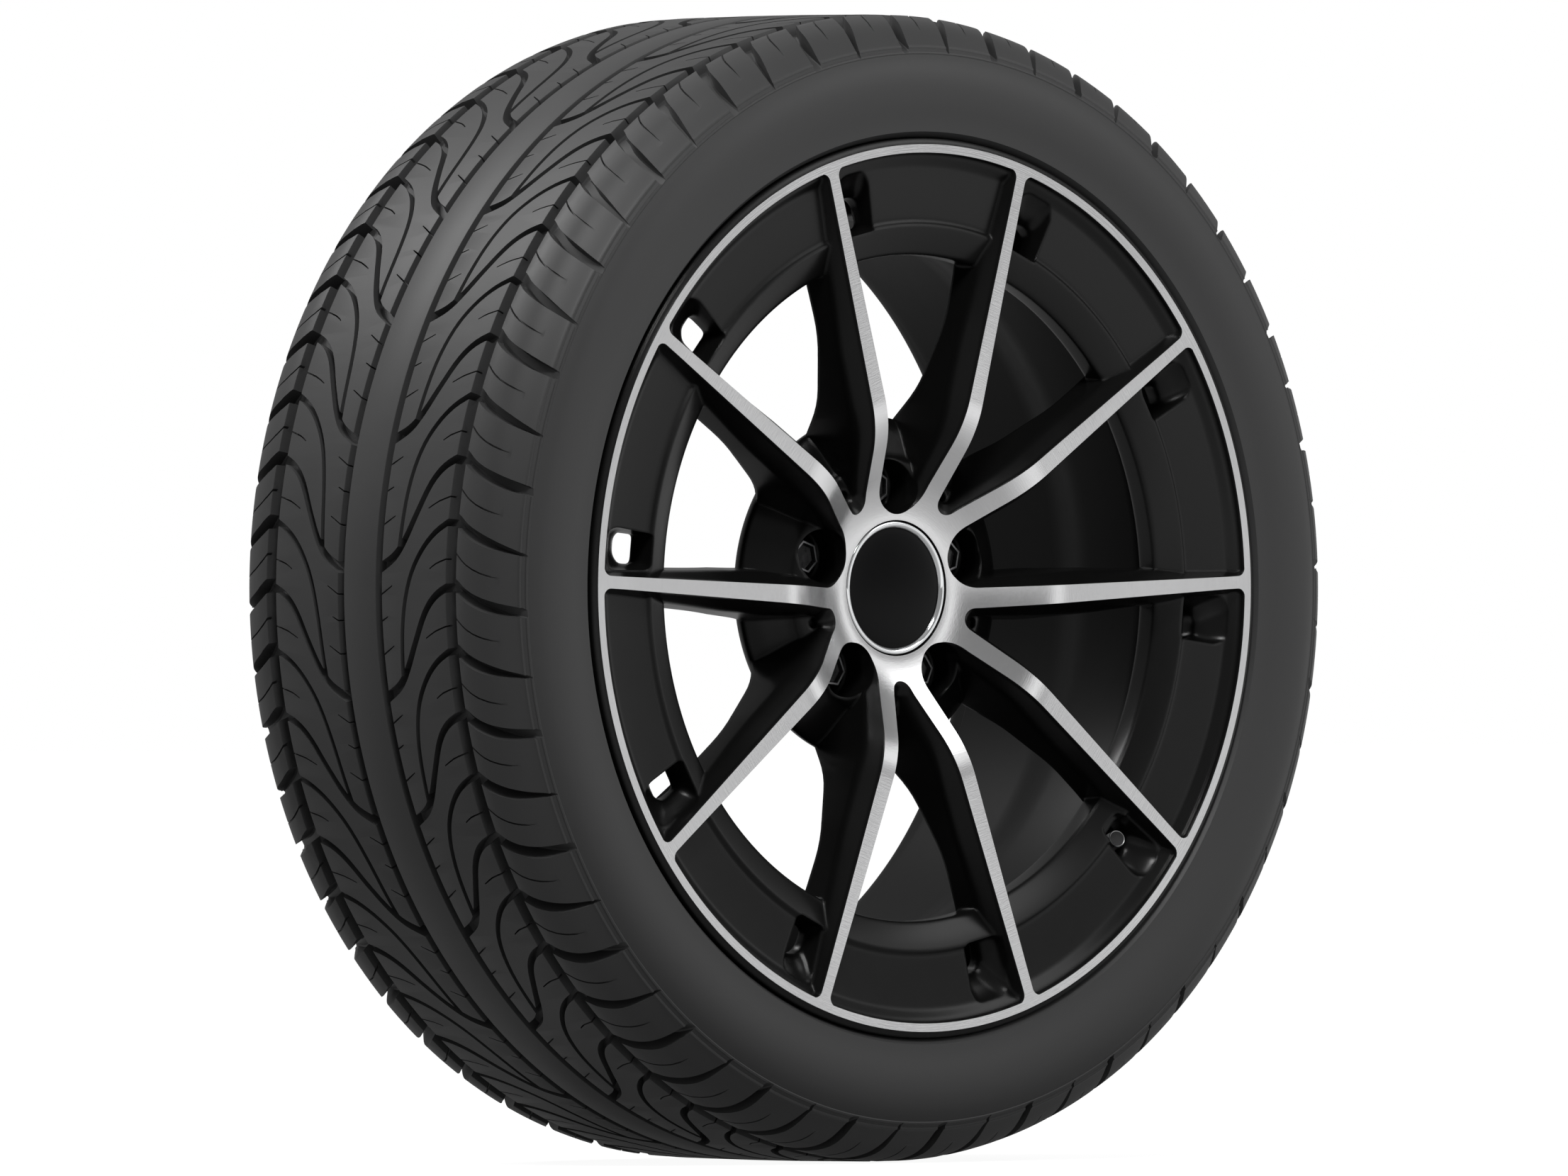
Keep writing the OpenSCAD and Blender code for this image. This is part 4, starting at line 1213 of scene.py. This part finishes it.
@dataclass
class CentreCap:
    """The chrome ring and the bare gloss disc of the centre cap."""

    radius: float = 37.3
    front: float = 88.5

    def ring(self, finishes: Finishes) -> bpy.types.Object:
        """Build the trim ring."""
        r, h = self.radius, self.front
        made = turned("cap_ring", rounded([
            (r - 4.2, h - 4.6), (r - 0.1, h - 4.6), (r, h - 1.6, 0.8), (r - 0.6, h - 0.4, 0.6),
            (r - 1.8, h, 0.9), (r - 3.2, h - 0.5, 0.8), (r - 4.2, h - 1.8, 0.6)], 4), 192)
        soften(made, 40)
        finishes.paint(made, "chrome")
        return made

    def disc(self, finishes: Finishes) -> bpy.types.Object:
        """Build the disc, slightly domed and left bare."""
        r, h = self.radius, self.front
        dome = [(x, h - 1.9 + 2.15 * (1 - (x / (r - 4.3)) ** 2) ** 0.9) for x in np.linspace(r - 4.3, 0, 22)]
        made = turned("cap_disc", [(0.0, h - 2.9), (r - 4.4, h - 2.9), *dome], 192)
        soften(made, 40)
        finishes.paint(made, "gloss")
        return made


@dataclass
class ValveDress:
    """The knurled dust cap and the wound spring of the valve core."""

    cap_r: float = 5.0
    ribs: int = 30

    def dust_cap(self, casting: Casting, finishes: Finishes) -> bpy.types.Object:
        """Build the dust cap with its knurled grip.

        Args:
            casting: gives the valve's place.
            finishes: the materials.

        Returns:
            The finished object.
        """
        count = self.ribs * 4
        angle = np.linspace(0, 2 * math.pi, count, endpoint=False)
        ribbed = np.tile((0.0, -0.28, -0.4, -0.28), self.ribs)
        r = self.cap_r
        steps = ((3.84, 29.4, 0), (3.84, 19.3, 0), (4.1, 19, 0), (4.7, 19, 0), (r, 19.4, 0), (r, 20.2, 1),
                 (r, 29.2, 1), (r, 30.2, 0), (4.75, 31.2, 0), (4.4, 31.5, 0), (4.1, 31.4, 0), (4.1, 30.8, 0))
        rings = []
        for radius, height, knurled in steps:
            rings.append(circle(radius + ribbed * knurled, height, angle))
        made = lofted("dust_cap", rings, casting.valve_place)
        soften(made, 50)
        finishes.paint(made, "valve")
        return made

    def core_spring(self, casting: Casting, coil: Coiler, finishes: Finishes) -> bpy.types.Object:
        """Build the wound spring in the valve core.

        Args:
            casting: gives the valve's place.
            coil: the tree that winds wire.
            finishes: the materials.

        Returns:
            The finished object.
        """
        made = coil.wind("core_spring", 7.0, 0.8 * MM, 5.7 * MM, 0.14 * MM, finishes["spring"])
        spots = np.array([v.co for v in made.data.vertices]) / MM + np.array((0, 0, 13.55))
        for vertex, spot in zip(made.data.vertices, casting.valve_place(spots)):
            vertex.co = spot
        made.data.shade_smooth()
        return made

    @staticmethod
    def squeeze(spring: bpy.types.Object, casting: Casting) -> None:
        """Give the spring a mesh of its own."""
        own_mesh(spring)


@dataclass
class Studio:
    """Camera, floor, world and lamps."""

    focal_px: float = 40000.0
    yaw: float = 0.7400
    scale: float = 2.556
    ring_x_px: float = 1309.0
    ring_plane: float = 114.3
    floor: float = -317.7
    width_px: float = 2212.0
    sensor: float = 36.0

    def ahead(self) -> tuple[float, float, float]:
        """Direction in which the wheel's face mirrors the camera."""
        return math.sin(self.yaw), -math.cos(self.yaw), 0.0

    @staticmethod
    def straight(graph: Graph, path: bpy.types.Node) -> bpy.types.NodeSocket:
        """Share of rays that the camera sends or that pass through clear pieces."""
        return graph.maths("MAXIMUM", path.outputs["Is Camera Ray"], path.outputs["Is Transmission Ray"])

    def camera(self) -> None:
        """Set the camera at the photograph's angle."""
        across = Vector((math.cos(self.yaw), -math.sin(self.yaw), 0))
        shift = (self.ring_x_px - self.width_px / 2) / self.scale
        target = Vector((0, -self.ring_plane, 0)) - across * shift
        away = Vector((-math.sin(self.yaw), -math.cos(self.yaw), 0)) * (self.focal_px / self.scale)
        data = bpy.data.cameras.new("camera")
        data.sensor_width = self.sensor
        data.lens = self.focal_px / self.width_px * self.sensor
        data.clip_end = 100
        camera = bpy.data.objects.new("camera", data)
        camera.location = (target + away) * MM
        camera.rotation_euler = (-away).to_track_quat("-Z", "Y").to_euler()
        bpy.context.collection.objects.link(camera)
        bpy.context.scene.camera = camera

    def ground(self) -> None:
        """Lay a pale floor that keeps the shadow, and that glows in reflections as a painted reflection band,
        brighter further out along the face's mirror direction.
        """
        size, z = 30.0, self.floor * MM
        corners = [(x * size, y * size, z) for x, y in ((-1, -1), (1, -1), (1, 1), (-1, 1))]
        obj = new_object("floor", np.array(corners), [(0, 1, 2, 3)])
        made = bpy.data.materials.new("pale_floor")
        made.use_nodes = True
        graph = Graph(made.node_tree)
        shader = next(n for n in made.node_tree.nodes if n.type == "BSDF_PRINCIPLED")
        path = graph.add("ShaderNodeLightPath")
        ahead = graph.feed(graph.add("ShaderNodeVectorMath", operation="DOT_PRODUCT"),
                           n0=graph.add("ShaderNodeTexCoord").outputs["Object"],
                           n1=self.ahead())
        # painted reflection: the floor glows for glossy rays only, brighter further out along the direction in
        # which the face mirrors the camera, so that it shows as highlights on the turned metal
        mirrored = graph.span(ahead.outputs["Value"], 0.2, 1.1, 0.3, 2.2)
        seen = graph.maths("MAXIMUM", self.straight(graph, path),
                           graph.maths("MULTIPLY", path.outputs["Is Glossy Ray"], mirrored))
        grain = graph.feed(graph.add("ShaderNodeTexNoise"), Scale=3.0)
        tint = graph.blend(grain.outputs[0], (*grey(0.20), 1), (*grey(0.24), 1))
        graph.feed(shader, Base_Color=tint, Roughness=0.8, Emission_Color=(1, 1, 1, 1), Specular_IOR_Level=0.0,
                   Emission_Strength=graph.maths("MULTIPLY", seen, 0.94))
        obj.data.materials.append(made)

    def sky(self) -> None:
        """Make the world white for the camera and for reflections, and softer for the light."""
        world = bpy.data.worlds.new("studio")
        bpy.context.scene.world = world
        world.use_nodes = True
        graph = Graph(world.node_tree)
        back = next(n for n in world.node_tree.nodes if n.type == "BACKGROUND")
        path = graph.add("ShaderNodeLightPath")
        seen = self.straight(graph, path)
        place = graph.add("ShaderNodeTexCoord").outputs["Generated"]
        card = graph.feed(graph.add("ShaderNodeVectorMath", operation="DOT_PRODUCT"), n0=place,
                          n1=self.ahead())
        mirrored = graph.maths("MINIMUM", graph.span(card.outputs["Value"], 0.3, 1.5, 0.84, 0.95),
                               graph.span(card.outputs["Value"], 1.5, 0.46, 0.95, 0.988))
        glossy = graph.maths("MULTIPLY", path.outputs["Is Glossy Ray"], mirrored)
        bright = graph.maths("MAXIMUM", seen, glossy)
        way = graph.feed(graph.add("ShaderNodeSeparateXYZ"), Vector=place)
        soft = graph.span(way.outputs["Z"], 0.12, 0.42, -0.2, 1.0)
        graph.feed(back, Color=(1, 1, 1, 1), Strength=graph.maths("MAXIMUM", bright, soft))

    def lamp(self, name: str, spot: tuple[float, float, float], size: float, power: float) -> None:
        """Set one soft lamp that looks at the wheel.

        Args:
            name: name of the lamp.
            spot: its place in metres.
            size: side of its square, in metres.
            power: power in watts.
        """
        data = bpy.data.lights.new(name, "AREA")
        data.size = size
        data.energy = power
        obj = bpy.data.objects.new(name, data)
        obj.location = spot
        obj.rotation_euler = (-Vector(spot)).to_track_quat("-Z", "Y").to_euler()
        bpy.context.collection.objects.link(obj)

    def build(self) -> None:
        """Set up everything round the wheel."""
        bpy.context.scene.view_settings.view_transform = "Standard"
        self.camera()
        self.ground()
        self.sky()
        self.lamp("left_lamp", (-1.6, -1.9, 3.1), 1.0, 86)
        self.lamp("back_lamp", (-1.3, 1.8, 2.6), 1.3, 62)
        self.lamp("front_lamp", (1.05, -1.35, 1.15), 0.9, 6.5)


def settle(obj: bpy.types.Object, body: str, slot: str, *nodes: str) -> None:
    """Tell the frame what a piece rides on and stands for, and log it."""
    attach(obj, body)
    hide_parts(*nodes)
    LOG.info("%s: %d faces, on %s, for %s", obj.name, len(obj.data.polygons), body, ", ".join(nodes))


def finish_plain_nodes(finishes: Finishes) -> None:
    """Give the CAD nodes that stay their materials."""
    plan = {
        "cap_body": "plastic", "cap_spring_ring": "spring", "valve_stem": "valve", "valve_grommet": "seal",
        "valve_washer": "valve", "valve_nut": "valve", "valve_core_barrel": "brass",
        "valve_core_pin": "brass", "valve_core_seal": "red", "valve_cap_seal": "seal", "valve_cap_disc": "badge",
        "pressure_sensor": "plastic", "sensor_screw": "spring",
    }
    nodes = frame["nodes"]
    for name, key in plan.items():
        obj = nodes[name] if isinstance(nodes[name], bpy.types.Object) else bpy.data.objects[name]
        finishes.paint(obj, key)


def main() -> None:
    """Build the dressed wheel."""
    logging.basicConfig(level=logging.INFO, format="%(message)s")
    finishes, repeat, coil = Finishes(), Repeater(), Coiler()
    casting, cap, valve = Casting(), CentreCap(), ValveDress()
    settle(casting.build(finishes, repeat), "wheel", "black_alloy", "alloy_wheel")
    settle(Tyre().build(finishes, repeat), "wheel", "tyre_rubber", "tyre")
    settle(WheelBolts().build(finishes, repeat), "wheel", "black_steel", "wheel_bolts")
    settle(cap.ring(finishes), "wheel", "chrome_trim", "cap_trim_ring")
    settle(cap.disc(finishes), "wheel", "gloss_black", "cap_face_disc")
    settle(valve.dust_cap(casting, finishes), "dust_cap", "valve_alloy", "valve_cap")
    spring = valve.core_spring(casting, coil, finishes)
    settle(spring, "wheel", "spring_steel", "valve_core_spring")
    valve.squeeze(spring, casting)
    finish_plain_nodes(finishes)
    Studio().build()


if __name__ == "__main__":
    main()
